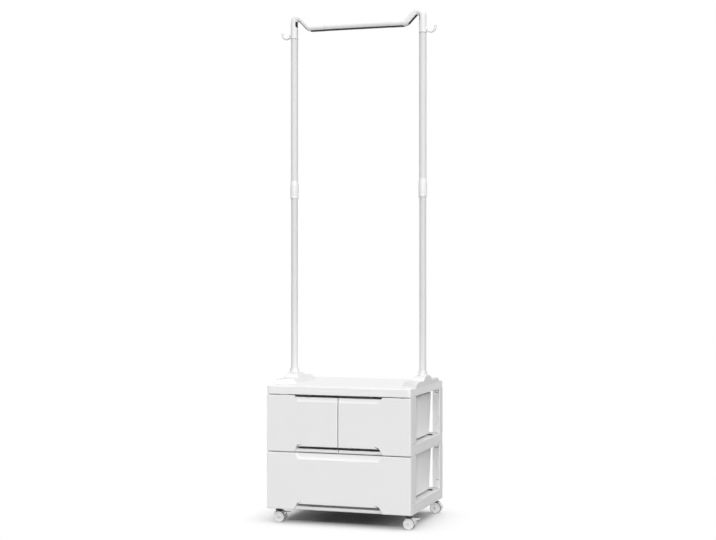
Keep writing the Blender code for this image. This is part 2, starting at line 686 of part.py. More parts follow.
def drawers():
    tub_side = POST_INNER_X - TUB_CLEARANCE
    tub_middle = RIB_WIDTH / 2 + TUB_CLEARANCE
    half = FRONT_GAP / 2
    drawer("lower_drawer", -SIDE_X, SIDE_X, -tub_side, tub_side, BASE_DECK, MID_BOTTOM,
           LOWER_FRONT_LOW, LOWER_FRONT_TOP)
    drawer("upper_left_drawer", -SIDE_X, -half, -tub_side, -tub_middle, MID_DECK, BOARD_BOTTOM,
           UPPER_FRONT_LOW, UPPER_FRONT_TOP)
    drawer("upper_right_drawer", half, SIDE_X, tub_middle, tub_side, MID_DECK, BOARD_BOTTOM,
           UPPER_FRONT_LOW, UPPER_FRONT_TOP)


def lobe(y, centre, half, height):
    """Height of a rounded lobe at y: a superellipse, and zero outside it."""
    share = abs(y - centre) / half
    return height * max(0.0, 1.0 - share ** LOBE_POWER) ** (1.0 / LOBE_POWER)


def bracket_outline():
    """Side view of a bracket: the highest of three lobes, over its foot."""
    side_centre = BRACKET_HALF - SIDE_LOBE_HALF
    outline = []
    for i in range(LOBE_POINTS + 1):
        y = BRACKET_HALF * math.sin(math.pi * (i / LOBE_POINTS - 0.5))
        sides = lobe(abs(y), side_centre, SIDE_LOBE_HALF, SIDE_LOBE_HEIGHT)
        centre = lobe(y, 0.0, CENTRE_LOBE_HALF, CENTRE_LOBE_HEIGHT)
        outline.append((y, max(sides, centre)))
    return outline


def pole_bracket(name, side):
    """Scalloped foot on the board, with a collar that takes the pole."""
    middle = side * (SIDE_X + BRACKET_INNER_X) / 2
    body = prism(bracket_outline(), BRACKET_WIDTH, Y_AXIS, Z_AXIS, (middle, POLE_Y, BRACKET_BOTTOM))
    inner, outer = side * BRACKET_INNER_X, side * (SIDE_X + CUT_SLACK)
    back = side * (BRACKET_INNER_X - CUT_SLACK)
    slope_top = side * (BRACKET_INNER_X + SLOPE_RUN)
    over = CENTRE_LOBE_HEIGHT + CUT_SLACK
    slope = [(inner, 0.0), (slope_top, CENTRE_LOBE_HEIGHT), (slope_top, over), (back, over), (back, 0.0)]
    cut(body, prism(slope, 3 * BRACKET_HALF, X_AXIS, Z_AXIS, (0.0, POLE_Y, BRACKET_BOTTOM)))
    for end in (-1, 1):
        near, far = end * BRACKET_INNER_HALF, end * BRACKET_HALF
        past = end * 2 * BRACKET_HALF
        corner = [(back, near), (inner, near), (outer, far), (outer, past), (back, past)]
        cut(body, prism(corner, 4 * over, X_AXIS, Y_AXIS, (0.0, POLE_Y, BRACKET_BOTTOM)))
    place = (side * POLE_X, POLE_Y, 0.0)
    collar_low = BRACKET_BOTTOM + BRACKET_FLOOR / 2
    ring_low = COLLAR_TOP - COLLAR_HEIGHT / 2
    hole = bore_radius(LOWER_RADIUS, TUBE_SIDES)
    collar = [
        (0.0, COLLAR_TOP), (hole + COLLAR_LIP, COLLAR_TOP), (hole + COLLAR_WALL, ring_low),
        (hole + COLLAR_WALL, collar_low), (0.0, collar_low)]
    join(body, turned(collar, TUBE_SIDES, place))
    cut(body, rod(hole, BRACKET_BOTTOM + BRACKET_FLOOR, COLLAR_TOP + CUT_SLACK, TUBE_SIDES, place))
    pilot = bore_radius(SCREW_RADIUS, SCREW_SIDES)
    pilot_top = BRACKET_BOTTOM + SCREW_GRIP + FIT
    for end in (-1, 1):
        screw_place = (side * POLE_X, POLE_Y + end * SCREW_SPREAD, 0.0)
        cut(body, rod(pilot, BRACKET_BOTTOM - CUT_SLACK, pilot_top, SCREW_SIDES, screw_place))
    part(body, name, FITTING_PLASTIC)


def bracket_screws():
    """Screws from under the board into the brackets."""
    deck_low = BOARD_TOP - SKIN - FIT
    tip = BRACKET_BOTTOM + SCREW_GRIP
    head = deck_low - SCREW_HEAD_HEIGHT
    profile = [
        (0.0, tip), (SCREW_RADIUS, tip), (SCREW_RADIUS, deck_low),
        (SCREW_HEAD_RADIUS, deck_low), (SCREW_HEAD_RADIUS, head), (0.0, head)]
    mesh = baked(turned(profile, SCREW_SIDES), STEEL)
    for name, side in SIDES.items():
        for end, y in (("front", -SCREW_SPREAD), ("rear", SCREW_SPREAD)):
            copy_of(mesh, f"bracket_screw_{name}_{end}", (side * POLE_X, POLE_Y + y, 0.0))


def pipe(outer, inner, low, high):
    """Closed profile of a tube between two heights."""
    return [(inner, high), (outer, high), (outer, low), (inner, low)]


def poles():
    """On each side a lower tube that slides in an upper tube, locked by a sleeve with a nut."""
    upper_inner = TUBE_RADIUS - TUBE_WALL
    lower = pipe(LOWER_RADIUS, LOWER_RADIUS - LOWER_WALL, LOWER_BOTTOM, LOWER_TOP)
    upper = pipe(TUBE_RADIUS, upper_inner, UPPER_BOTTOM, UPPER_BOTTOM + UPPER_LENGTH)
    seat = bore_radius(TUBE_RADIUS, TUBE_SIDES)
    guide = bore_radius(LOWER_RADIUS, TUBE_SIDES)
    thin, thick = seat + SLEEVE_LIP, seat + SLEEVE_WALL
    top = SLEEVE_FOOT + SLEEVE_HEIGHT
    step = SLEEVE_FOOT + SLEEVE_STEP
    sleeve = [
        (seat, top), (thin, top), (thick, top - SLEEVE_TAPER),
        (thick, SLEEVE_FOOT), (guide, SLEEVE_FOOT), (guide, step), (seat, step)]
    nut = [
        (guide, NUT_TOP), (thick, NUT_TOP), (thick, NUT_BOTTOM + thick - thin),
        (thin, NUT_BOTTOM), (guide, NUT_BOTTOM)]
    for name, side in SIDES.items():
        place = (side * POLE_X, POLE_Y, 0.0)
        part(turned(lower, TUBE_SIDES, place), "lower_tube_" + name, POLE_PAINT)
        part(turned(upper, TUBE_SIDES, place), "upper_tube_" + name, POLE_PAINT)
        part(turned(sleeve, TUBE_SIDES, place), "lock_sleeve_" + name, FITTING_PLASTIC)
        part(turned(nut, TUBE_SIDES, place), "lock_nut_" + name, FITTING_PLASTIC)
    rail = pipe(TUBE_RADIUS, upper_inner, -RAIL_HALF, RAIL_HALF)
    rail_place = (0.0, POLE_Y, RAIL_Z)
    part(turned(rail, TUBE_SIDES, rail_place, (0.0, math.pi / 2, 0.0)), "hanging_rail", POLE_PAINT)


def neck_path():
    """Axis of a gooseneck on the right, as (x, z): up the pole, over the crest, down to the rail."""
    bend = NECK_RADIUS + CREST_INNER
    crest_centre = (POLE_X - bend, NECK_BOTTOM + CREST_RISE - NECK_RADIUS - bend)
    crest = arc(crest_centre, bend, 0.0, CREST_TURN, CREST_STEPS)
    fall = CREST_TURN - math.pi / 2
    end_x, end_z = crest[-1]
    drop = end_z - RAIL_Z - FOOT_RADIUS * (1 - math.cos(fall))
    foot_start_x = end_x - drop / math.tan(fall)
    foot_centre = (foot_start_x - FOOT_RADIUS * math.sin(fall), RAIL_Z + FOOT_RADIUS)
    foot = arc(foot_centre, FOOT_RADIUS, fall - math.pi / 2, -math.pi / 2, FOOT_STEPS)
    return [(POLE_X, NECK_BOTTOM)] + crest + foot + [(RAIL_HALF + FIT, RAIL_Z)]


def hook_path():
    """Axis of the coat hook on the right, as (x, z): out of the collar, round and up to a straight tip."""
    centre = (POLE_X + NECK_RADIUS + HOOK_ROOM + HOOK_BEND, NECK_BOTTOM + HOOK_RISE)
    bend = arc(centre, HOOK_BEND, HOOK_START, HOOK_END, HOOK_STEPS)
    root = (POLE_X + NECK_RADIUS / 2, bend[0][1] + HOOK_RADIUS / 2)
    tip = (bend[-1][0] - HOOK_TIP * math.sin(HOOK_END), bend[-1][1] + HOOK_TIP * math.cos(HOOK_END))
    return [root] + bend + [tip]


def elbow(name, side):
    """Gooseneck with a spigot in the pole, a spigot in the rail and a coat hook."""
    def at_side(path):
        return [(side * x, POLE_Y, z) for x, z in path]

    body = bent_rod(at_side(neck_path()), NECK_RADIUS, NECK_RESOLUTION)
    spigot = TUBE_RADIUS - TUBE_WALL - FIT
    pole = (side * POLE_X, POLE_Y, NECK_BOTTOM)
    join(body, rod(spigot, -SPIGOT_LENGTH, SPIGOT_LENGTH / 4, TUBE_SIDES, pole))
    x0, x1 = span(side * (RAIL_HALF - SPIGOT_LENGTH), side * (RAIL_HALF + SPIGOT_LENGTH / 4))
    rail_axis = (0.0, POLE_Y, RAIL_Z)
    join(body, rod(spigot, x0, x1, TUBE_SIDES, rail_axis, (0.0, math.pi / 2, 0.0)))
    join(body, bent_rod(at_side(hook_path()), HOOK_RADIUS, HOOK_RESOLUTION))
    part(body, name, FITTING_PLASTIC)


def hood_mesh(braked):
    """Hood of a castor about its swivel axis: a web between the wheels, a band over them, a boss."""
    axle = (TRAIL, 0.0, WHEEL_RADIUS)
    web = arc((0.0, 0.0), WEB_RADIUS, 0.0, 2 * math.pi, STEM_SIDES)[:-1]
    body = prism(web, WEB_WIDTH, X_AXIS, Z_AXIS, axle)
    band = arc((0.0, 0.0), BAND_OUTER, BAND_START, BAND_END, BAND_STEPS)
    band += arc((0.0, 0.0), BAND_INNER, BAND_END, BAND_START, BAND_STEPS)
    neck_top = HOOD_TOP - STEM_SEAT
    neck = block(
        (-HOOD_NECK_HALF, -WEB_WIDTH / 2, WHEEL_RADIUS), (HOOD_NECK_HALF, WEB_WIDTH / 2, neck_top))
    join(body, neck)
    join(body, prism(band, 2 * BAND_HALF, X_AXIS, Z_AXIS, axle))
    join(body, rod(HOOD_BOSS_RADIUS, neck_top - OVERLAP, HOOD_TOP, STEM_SIDES))
    stem_hole = bore_radius(STEM_RADIUS, STEM_SIDES)
    cut(body, rod(stem_hole, HOOD_TOP - STEM_SEAT - FIT, HOOD_TOP + CUT_SLACK, STEM_SIDES))
    axle_hole = bore_radius(AXLE_RADIUS, AXLE_SIDES)
    cut(body, rod(axle_hole, -WEB_WIDTH, WEB_WIDTH, AXLE_SIDES, axle, SIDEWAYS))
    if braked:
        ear_low = LEVER_WIDTH / 2 + FIT
        for y in (-ear_low - EAR_WIDTH / 2, ear_low + EAR_WIDTH / 2):
            ear_place = LEVER_PIVOT + Vector((0.0, y, 0.0))
            join(body, rod(EAR_RADIUS, -EAR_WIDTH / 2, EAR_WIDTH / 2, AXLE_SIDES, ear_place, SIDEWAYS))
        pin_hole = bore_radius(TRUNNION_RADIUS, TRUNNION_SIDES)
        cut(body, rod(pin_hole, -LEVER_WIDTH, LEVER_WIDTH, TRUNNION_SIDES, LEVER_PIVOT, SIDEWAYS))
    return baked(body, CASTOR_PLASTIC)


def stem_mesh():
    """Steel stem about the swivel axis, with a flange between the hood and the base frame."""
    flange_low = HOOD_TOP + FIT
    flange_top = flange_low + STEM_FLANGE_HEIGHT
    bottom = HOOD_TOP - STEM_SEAT
    profile = [
        (0.0, STEM_TOP), (STEM_RADIUS, STEM_TOP), (STEM_RADIUS, flange_top),
        (STEM_FLANGE_RADIUS, flange_top), (STEM_FLANGE_RADIUS, flange_low), (STEM_RADIUS, flange_low),
        (STEM_RADIUS, bottom), (0.0, bottom)]
    return baked(turned(profile, STEM_SIDES), STEEL)


def wheel_mesh():
    """Wheel about Z with a flat facet towards -Y, so its corners lie a little outside its radius."""
    corner = WHEEL_RADIUS / math.cos(math.pi / WHEEL_SIDES)
    hole = bore_radius(AXLE_RADIUS, WHEEL_SIDES)
    half = WHEEL_WIDTH / 2
    profile = [
        (hole, half), (corner - WHEEL_EDGE, half), (corner, half - WHEEL_EDGE),
        (corner, WHEEL_EDGE - half), (corner - WHEEL_EDGE, -half), (hole, -half)]
    half_step = math.pi / WHEEL_SIDES
    return baked(turned(profile, WHEEL_SIDES, rotation=(0.0, 0.0, half_step - math.pi / 2)), WHEEL_PLASTIC)


def lever_mesh():
    """Brake lever about its pivot: a knuckle with trunnions, and a foot tab."""
    along = Vector((math.cos(LEVER_TILT), math.sin(LEVER_TILT)))
    over = Vector((-along.y, along.x)) * (LEVER_WALL / 2)
    tip = along * LEVER_LENGTH
    lean = math.asin(LEVER_WALL / 2 / LEVER_KNUCKLE)
    turn = (LEVER_TILT + lean, LEVER_TILT + 2 * math.pi - lean)
    knuckle = arc((0.0, 0.0), LEVER_KNUCKLE, *turn, TRUNNION_SIDES)
    outline = knuckle + [tuple(tip - over), tuple(tip + over)]
    body = prism(outline, LEVER_WIDTH, X_AXIS, Z_AXIS, (0.0, 0.0, 0.0))
    pin_half = LEVER_WIDTH / 2 + FIT + EAR_WIDTH
    join(body, rod(TRUNNION_RADIUS, -pin_half, pin_half, TRUNNION_SIDES, rotation=SIDEWAYS))
    return baked(body, CASTOR_PLASTIC)


def castors():
    """Four hooded castors with twin wheels, and a brake lever on each of the two at the front."""
    hoods = {"front": hood_mesh(True), "rear": hood_mesh(False)}
    stem, wheel, lever = stem_mesh(), wheel_mesh(), lever_mesh()
    axle = baked(rod(AXLE_RADIUS, -AXLE_HALF, AXLE_HALF, AXLE_SIDES), STEEL)
    axle_place = Vector((TRAIL, 0.0, WHEEL_RADIUS))
    wheel_y = WEB_WIDTH / 2 + SIDE_GAP + WHEEL_WIDTH / 2
    for end, y in (("front", CASTOR_FRONT_Y), ("rear", CASTOR_REAR_Y)):
        for name, side in SIDES.items():
            corner = f"{end}_{name}"
            swivel = bpy.data.objects.new("castor_axis_" + corner, None)
            swivel.location = (side * CASTOR_X, y, 0.0)
            PARTS.objects.link(swivel)
            copy_of(hoods[end], "castor_hood_" + corner, (0.0, 0.0, 0.0), swivel)
            copy_of(stem, "castor_stem_" + corner, (0.0, 0.0, 0.0), swivel)
            copy_of(axle, "castor_axle_" + corner, axle_place, swivel, SIDEWAYS)
            for label, offset in (("a", -wheel_y), ("b", wheel_y)):
                wheel_place = axle_place + Vector((0.0, offset, 0.0))
                copy_of(wheel, f"castor_wheel_{corner}_{label}", wheel_place, swivel, SIDEWAYS)
            if end == "front":
                copy_of(lever, "brake_lever_" + corner, LEVER_PIVOT, swivel)


base_frame()
mid_frame()
top_board()
for tier, (deck, skirt) in TIERS.items():
    for name, side in SIDES.items():
        front_post(f"front_post_{tier}_{name}", side, deck, skirt)
        rear_post(f"rear_post_{tier}_{name}", side, deck, skirt)
lock_pegs()
drawers()
for name, side in SIDES.items():
    pole_bracket("pole_bracket_" + name, side)
bracket_screws()
poles()
for name, side in SIDES.items():
    elbow("elbow_" + name, side)
castors()
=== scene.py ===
import bpy
import numpy as np
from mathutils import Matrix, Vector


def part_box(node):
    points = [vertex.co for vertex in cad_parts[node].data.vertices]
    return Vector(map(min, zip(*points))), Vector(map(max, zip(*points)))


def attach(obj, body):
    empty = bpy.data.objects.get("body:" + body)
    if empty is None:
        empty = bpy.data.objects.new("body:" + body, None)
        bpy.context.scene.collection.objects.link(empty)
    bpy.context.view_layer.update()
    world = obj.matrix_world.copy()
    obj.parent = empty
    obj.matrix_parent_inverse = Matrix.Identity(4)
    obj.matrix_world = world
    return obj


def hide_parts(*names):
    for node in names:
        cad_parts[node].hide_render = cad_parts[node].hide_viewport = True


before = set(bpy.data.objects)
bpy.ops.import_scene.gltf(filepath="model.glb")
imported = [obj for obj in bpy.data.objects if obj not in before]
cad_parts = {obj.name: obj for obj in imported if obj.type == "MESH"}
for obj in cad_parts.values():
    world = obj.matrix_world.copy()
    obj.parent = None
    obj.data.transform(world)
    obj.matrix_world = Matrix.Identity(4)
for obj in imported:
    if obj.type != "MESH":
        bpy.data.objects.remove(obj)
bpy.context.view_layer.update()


# Base frame and mid frame: two shallow trays, open underneath, that carry the drawers on runners.
# Each is moulded in white polypropylene, with castor sockets or a guide rib and lugs, and stacks
# on the corner posts. A low strip along the rear of its pocket is painted black as painted shade.
SIDES = {"left": -1.0, "right": 1.0}
CHEST_SIDE = 0.250
FRAME_FRONT = -0.184
CHEST_REAR = 0.2025
WALL = 0.003
FRAME_CORNER, FRAME_ROUND = 0.006, 0.0025
BASE_EDGE, BASE_DECK = 0.050, 0.086
MID_EDGE, MID_DECK = 0.2425, 0.2785
CASTOR_X = 0.2265
CASTOR_Y = {"front": -0.157, "rear": 0.1755}
LUG_X, LUG_HALF, LUG_FRONT, LUG_REAR = 0.23025, 0.015, 0.1957, 0.1987
LUG_DROP, PEG_DROP, PEG_HOLE = 0.026, 0.011, 0.0091
WINDOW_HALF = 0.160
BASE_WINDOW, MID_WINDOW = (0.0580, 0.0760), (0.2499, 0.2679)
POCKET_SIDE, POCKET_FRONT, POCKET_REAR, POCKET_DEPTH = 0.2395, -0.1345, 0.1645, 0.006
BASE_RUNNERS, MID_RUNNERS, RUNNER_HALF = (-0.15, 0.0, 0.15), (-0.17, -0.06, 0.06, 0.17), 0.002
WEB_HALF, WEB_FRONT, WEB_REAR = 0.190, -0.1095, -0.1075
GUIDE_HALF, GUIDE_FRONT, GUIDE_REAR, GUIDE_RISE = 0.004, -0.1335, 0.1435, 0.012
SHADE_STRIP_HALF, SHADE_STRIP_DEPTH, SHADE_STRIP_LEVEL = 0.223, 0.0050, 0.9
FINE_ROUND, EDGE_LEAST, EDGE_RANGE, RELIEF = 0.0006, 0.003, 0.02, 0.0002
QUARTER, HALF_TURN = np.radians(np.linspace(0.0, 90.0, 6)), np.radians(np.linspace(0.0, 180.0, 9))
SINE_GAP, COSINE_GAP = 1.0 - np.sin(QUARTER), 1.0 - np.cos(QUARTER)


def rounded_loops(x0, x1, y0, y1, radius, margin=0.002):
    """Rectangles with round corners, one for each entry of the sizes. Every corner is a quarter circle
    about a centre one radius in from both sides, with one more point on the straight at either end."""
    sizes = np.broadcast_arrays(*[np.atleast_1d(np.asarray(v, float)) for v in (x0, x1, y0, y1, radius)])
    x0, x1, y0, y1, radius = [v[:, None] for v in sizes]
    ahead = np.concatenate([[1.0], np.cos(QUARTER), [0.0]])
    aside = np.concatenate([[0.0], np.sin(QUARTER), [1.0]])
    lead, trail = np.zeros((2, len(ahead)))
    lead[0], trail[-1] = margin, margin
    u, v = radius * ahead - trail, radius * aside - lead
    xs = [x1 - radius + u, x0 + radius - v, x0 + radius - u, x1 - radius + v]
    ys = [y1 - radius + v, y1 - radius + u, y0 + radius - v, y0 + radius - u]
    return np.stack([np.concatenate(xs, 1), np.concatenate(ys, 1)], -1)


def at_heights(loops, heights):
    """Flat loops lifted to their heights, one height for each loop."""
    level = np.broadcast_to(np.asarray(heights, float)[:, None, None], (*loops.shape[:2], 1))
    return np.concatenate([loops, level], -1)


def outwards(points, quads, caps):
    """Points and faces as lists, the faces turned the other way if their volume comes out negative."""
    a, b, c, d = points[quads.T]
    volume = np.einsum("ij,ij->", a, np.cross(b, c)) + np.einsum("ij,ij->", a, np.cross(c, d))
    for cap in caps:
        fan = points[cap]
        volume += np.einsum("j,ij->", fan[0], np.cross(fan[1:-1], fan[2:]))
    faces = quads.tolist() + [list(cap) for cap in caps]
    return points, faces if volume > 0.0 else [face[::-1] for face in faces]


def ring_skin(rings, looped=False):
    """Skin over a stack of rings: each point is joined to the next one round its ring and to the ring
    above. The end rings are closed by flat faces, or joined to each other when the stack is a loop."""
    count, around = rings.shape[:2]
    row = np.arange(count if looped else count - 1)[:, None]
    col = np.arange(around)[None, :]
    above, beside = (row + 1) % count, (col + 1) % around
    corners = [row * around + col, row * around + beside, above * around + beside, above * around + col]
    quads = np.stack(corners, -1).reshape(-1, 4)
    ends = [] if looped else [np.arange(around)[::-1], np.arange(around) + (count - 1) * around]
    return outwards(rings.reshape(-1, 3), quads, ends)


def rounded_block(x0, x1, y0, y1, z0, z1, radius):
    """Block with all its edges round: rounded rectangles that draw in along a quarter circle at foot
    and head."""
    room = 0.45 * min(x1 - x0, y1 - y0)
    margin = min(0.002, max(room - radius, 0.0) * 0.5)
    draw = np.concatenate([[radius + margin], radius * SINE_GAP, [0.0]])
    rise = np.concatenate([[0.0], radius * COSINE_GAP, [min(radius + 0.002, 0.4 * (z1 - z0))]])
    inset = np.concatenate([draw, draw[::-1]])
    heights = np.concatenate([z0 + rise, z1 - rise[::-1]])
    corner = np.maximum(radius - inset, radius * 0.05)
    return ring_skin(at_heights(
        rounded_loops(x0 + inset, x1 - inset, y0 + inset, y1 - inset, corner, margin), heights))


def all_round(count):
    """Angles of points evenly all the way round."""
    return np.linspace(0.0, 2.0 * np.pi, count, endpoint=False)


def turned(radius, along, centre, axis="z", sides=64, looped=True):
    """Skin of a profile turned round an axis: each of its points runs round a circle of its radius, at its
    place along the axis. The profile is a closed loop, or else its two ends are capped."""
    angle = all_round(sides)
    radius, along = [np.reshape(values, (len(values), -1)) for values in (radius, along)]
    u, v, w = np.broadcast_arrays(radius * np.cos(angle), radius * np.sin(angle), along)
    order = {"x": (w, u, v), "y": (v, w, u), "z": (u, v, w)}[axis]
    return ring_skin(np.stack(order, -1) + np.asarray(centre, float), looped)


def new_group(name, inputs):
    """Empty shader group with named inputs, and with colour, roughness and height as its outputs."""
    group = bpy.data.node_groups.new(name, "ShaderNodeTree")
    for label, kind, value in inputs:
        socket = group.interface.new_socket(label, in_out="INPUT", socket_type="NodeSocket" + kind)
        socket.default_value = value
    for label, kind in (("Colour", "Color"), ("Roughness", "Float"), ("Height", "Float")):
        group.interface.new_socket(label, in_out="OUTPUT", socket_type="NodeSocket" + kind)
    given, out = group.nodes.new("NodeGroupInput"), group.nodes.new("NodeGroupOutput")
    return group, given.outputs, out.inputs


def math_node(tree, operation, first, second, clamp=False):
    """Math node on two links or numbers."""
    node = tree.nodes.new("ShaderNodeMath")
    node.operation = operation
    node.use_clamp = clamp
    for socket, value in zip(node.inputs, (first, second)):
        if isinstance(value, (int, float)):
            socket.default_value = value
        else:
            tree.links.new(value, socket)
    return node.outputs[0]


def noise_node(tree, place, scale, detail, roughness=0.5):
    """Noise on the piece's own coordinates."""
    node = tree.nodes.new("ShaderNodeTexNoise")
    node.inputs["Detail"].default_value = detail
    node.inputs["Roughness"].default_value = roughness
    tree.links.new(place, node.inputs["Vector"])
    if isinstance(scale, (int, float)):
        node.inputs["Scale"].default_value = scale
    else:
        tree.links.new(scale, node.inputs["Scale"])
    return node.outputs["Fac"]


def blend_node(tree, factor, first, second):
    """Colour mix of two links or colours."""
    node = tree.nodes.new("ShaderNodeMix")
    node.data_type = "RGBA"
    tree.links.new(factor, node.inputs["Factor"])
    for socket, value in zip((node.inputs[6], node.inputs[7]), (first, second)):
        if isinstance(value, tuple):
            socket.default_value = value
        else:
            tree.links.new(value, socket)
    return node.outputs[2]


def mask_node(tree, name):
    """One of the piece's own masks, which say how worn each point is, or how black it is painted as shade.
    """
    node = tree.nodes.new("ShaderNodeAttribute")
    node.attribute_name = name
    return node.outputs["Fac"]


def moulded_group():
    """Moulded plastic: cloudy flow marks in the colour, a fine spark texture in the height, patchy gloss,
    scuffs where the piece's own edge mask is high, and black painted shade where its shade mask is."""
    tree, given, out = new_group(
        "moulded_plastic",
        [("Colour", "Color", (0.8, 0.8, 0.8, 1.0)), ("Cloud", "Color", (0.7, 0.7, 0.7, 1.0)),
         ("Scuff", "Color", (0.9, 0.9, 0.9, 1.0)), ("Grain", "Float", 1400.0), ("Gloss", "Float", 0.4),
         ("Wear", "Float", 0.5)])
    place = tree.nodes.new("ShaderNodeTexCoord").outputs["Object"]
    flow = noise_node(tree, place, 11.0, 3.0)
    cloud = math_node(tree, "MULTIPLY", math_node(tree, "SUBTRACT", flow, 0.42), 2.6, True)
    specks = noise_node(tree, place, 520.0, 1.0)
    speck = math_node(tree, "MULTIPLY", math_node(tree, "SUBTRACT", specks, 0.68), 6.0, True)
    rub = noise_node(tree, place, 95.0, 4.0, 0.65)
    worn = math_node(tree, "MULTIPLY", mask_node(tree, "edge"), math_node(tree, "MULTIPLY", rub, 1.7))
    worn = math_node(tree, "MULTIPLY", worn, given["Wear"], True)
    base = blend_node(tree, cloud, given["Colour"], given["Cloud"])
    base = blend_node(tree, math_node(tree, "MULTIPLY", speck, 0.35), base, given["Cloud"])
    base = blend_node(tree, worn, base, given["Scuff"])
    shade_black = blend_node(tree, flow, (0.010, 0.010, 0.011, 1.0), (0.016, 0.016, 0.017, 1.0))
    # Painted shade: black where the piece's shade mask is high.
    tree.links.new(blend_node(tree, mask_node(tree, "painted_shade"), base, shade_black), out["Colour"])
    patch = noise_node(tree, place, 34.0, 2.0)
    gloss = math_node(tree, "ADD", given["Gloss"], math_node(tree, "MULTIPLY", patch, 0.16))
    gloss = math_node(tree, "ADD", gloss, math_node(tree, "MULTIPLY", worn, 0.10))
    tree.links.new(math_node(tree, "SUBTRACT", gloss, 0.08), out["Roughness"])
    grain = noise_node(tree, place, given["Grain"], 2.0)
    height = math_node(tree, "ADD", grain, math_node(tree, "MULTIPLY", flow, 0.5))
    tree.links.new(height, out["Height"])
    return tree


def surface(name, group, values, bump, metallic=0.0):
    """Material whose colour, roughness and bump height come from a shared group with its own values."""
    material = bpy.data.materials.new(name)
    material.use_nodes = True
    tree = material.node_tree
    shader = tree.nodes["Principled BSDF"]
    finish = tree.nodes.new("ShaderNodeGroup")
    finish.node_tree = group
    for label, value in values.items():
        finish.inputs[label].default_value = value
    relief = tree.nodes.new("ShaderNodeBump")
    relief.inputs["Strength"].default_value = bump
    relief.inputs["Distance"].default_value = RELIEF
    tree.links.new(finish.outputs["Colour"], shader.inputs["Base Color"])
    tree.links.new(finish.outputs["Roughness"], shader.inputs["Roughness"])
    tree.links.new(finish.outputs["Height"], relief.inputs["Height"])
    tree.links.new(relief.outputs["Normal"], shader.inputs["Normal"])
    shader.inputs["Metallic"].default_value = metallic
    return material


def white(level, warm=0.0):
    """Near-white colour of a given level, a little warm or cool."""
    return (level + warm, level, level - warm, 1.0)


def build(name, skins, material, body, slot, *nodes, sharp=38.0):
    """One piece from closed skins. Its edge mask is how far the faces round a point turn away from each
    other: one less the length of the mean of their normals."""
    starts = np.cumsum([0] + [len(points) for points, _ in skins])
    points = np.concatenate([points for points, _ in skins])
    faces = [[i + int(start) for i in face] for start, (_, part) in zip(starts, skins) for face in part]
    mesh = bpy.data.meshes.new(name)
    mesh.from_pydata(points, [], faces)
    normals = np.empty(len(mesh.polygons) * 3)
    mesh.polygon_normals.foreach_get("vector", normals)
    totals = np.empty(len(mesh.polygons), int)
    mesh.polygons.foreach_get("loop_total", totals)
    corner = np.empty(len(mesh.loops), int)
    mesh.loops.foreach_get("vertex_index", corner)
    mean = np.zeros((len(points), 3))
    np.add.at(mean, corner, np.repeat(normals.reshape(-1, 3), totals, 0))
    spread = 1.0 - np.linalg.norm(mean, axis=1) / np.bincount(corner, minlength=len(points))
    edge = mesh.attributes.new("edge", "FLOAT", "POINT")
    edge.data.foreach_set("value", np.clip((spread - EDGE_LEAST) / EDGE_RANGE, 0.0, 1.0).astype(np.float32))
    mesh.shade_smooth()
    mesh.set_sharp_from_angle(angle=np.radians(sharp))
    mesh.materials.append(material)
    piece = bpy.data.objects.new(name, mesh)
    bpy.context.scene.collection.objects.link(piece)
    even = piece.modifiers.new("even_shading", "WEIGHTED_NORMAL")
    even.keep_sharp = True
    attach(piece, body)
    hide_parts(*nodes)
    return piece


def paint_shade(piece, share):
    """Sets how black each point of a piece is painted: painted shade."""
    mask = piece.data.attributes.new("painted_shade", "FLOAT", "POINT")
    mask.data.foreach_set("value", np.asarray(share, np.float32))


moulded = moulded_group()


def plastic(name, colour, cloud, scuff, grain, gloss, wear, bump, tints=(0.002, 0.0)):
    """Moulded plastic from the levels of its colour, clouds and scuffs. Clouds and scuffs may be warm."""
    return surface(name, moulded, {
        "Colour": white(colour), "Cloud": white(cloud, tints[0]), "Scuff": white(scuff, tints[1]),
        "Grain": grain, "Gloss": gloss, "Wear": wear}, bump)


frame_plastic = plastic("frame_plastic", 0.800, 0.780, 0.840,
                        grain=1500.0, gloss=0.42, wear=0.5, bump=0.25)


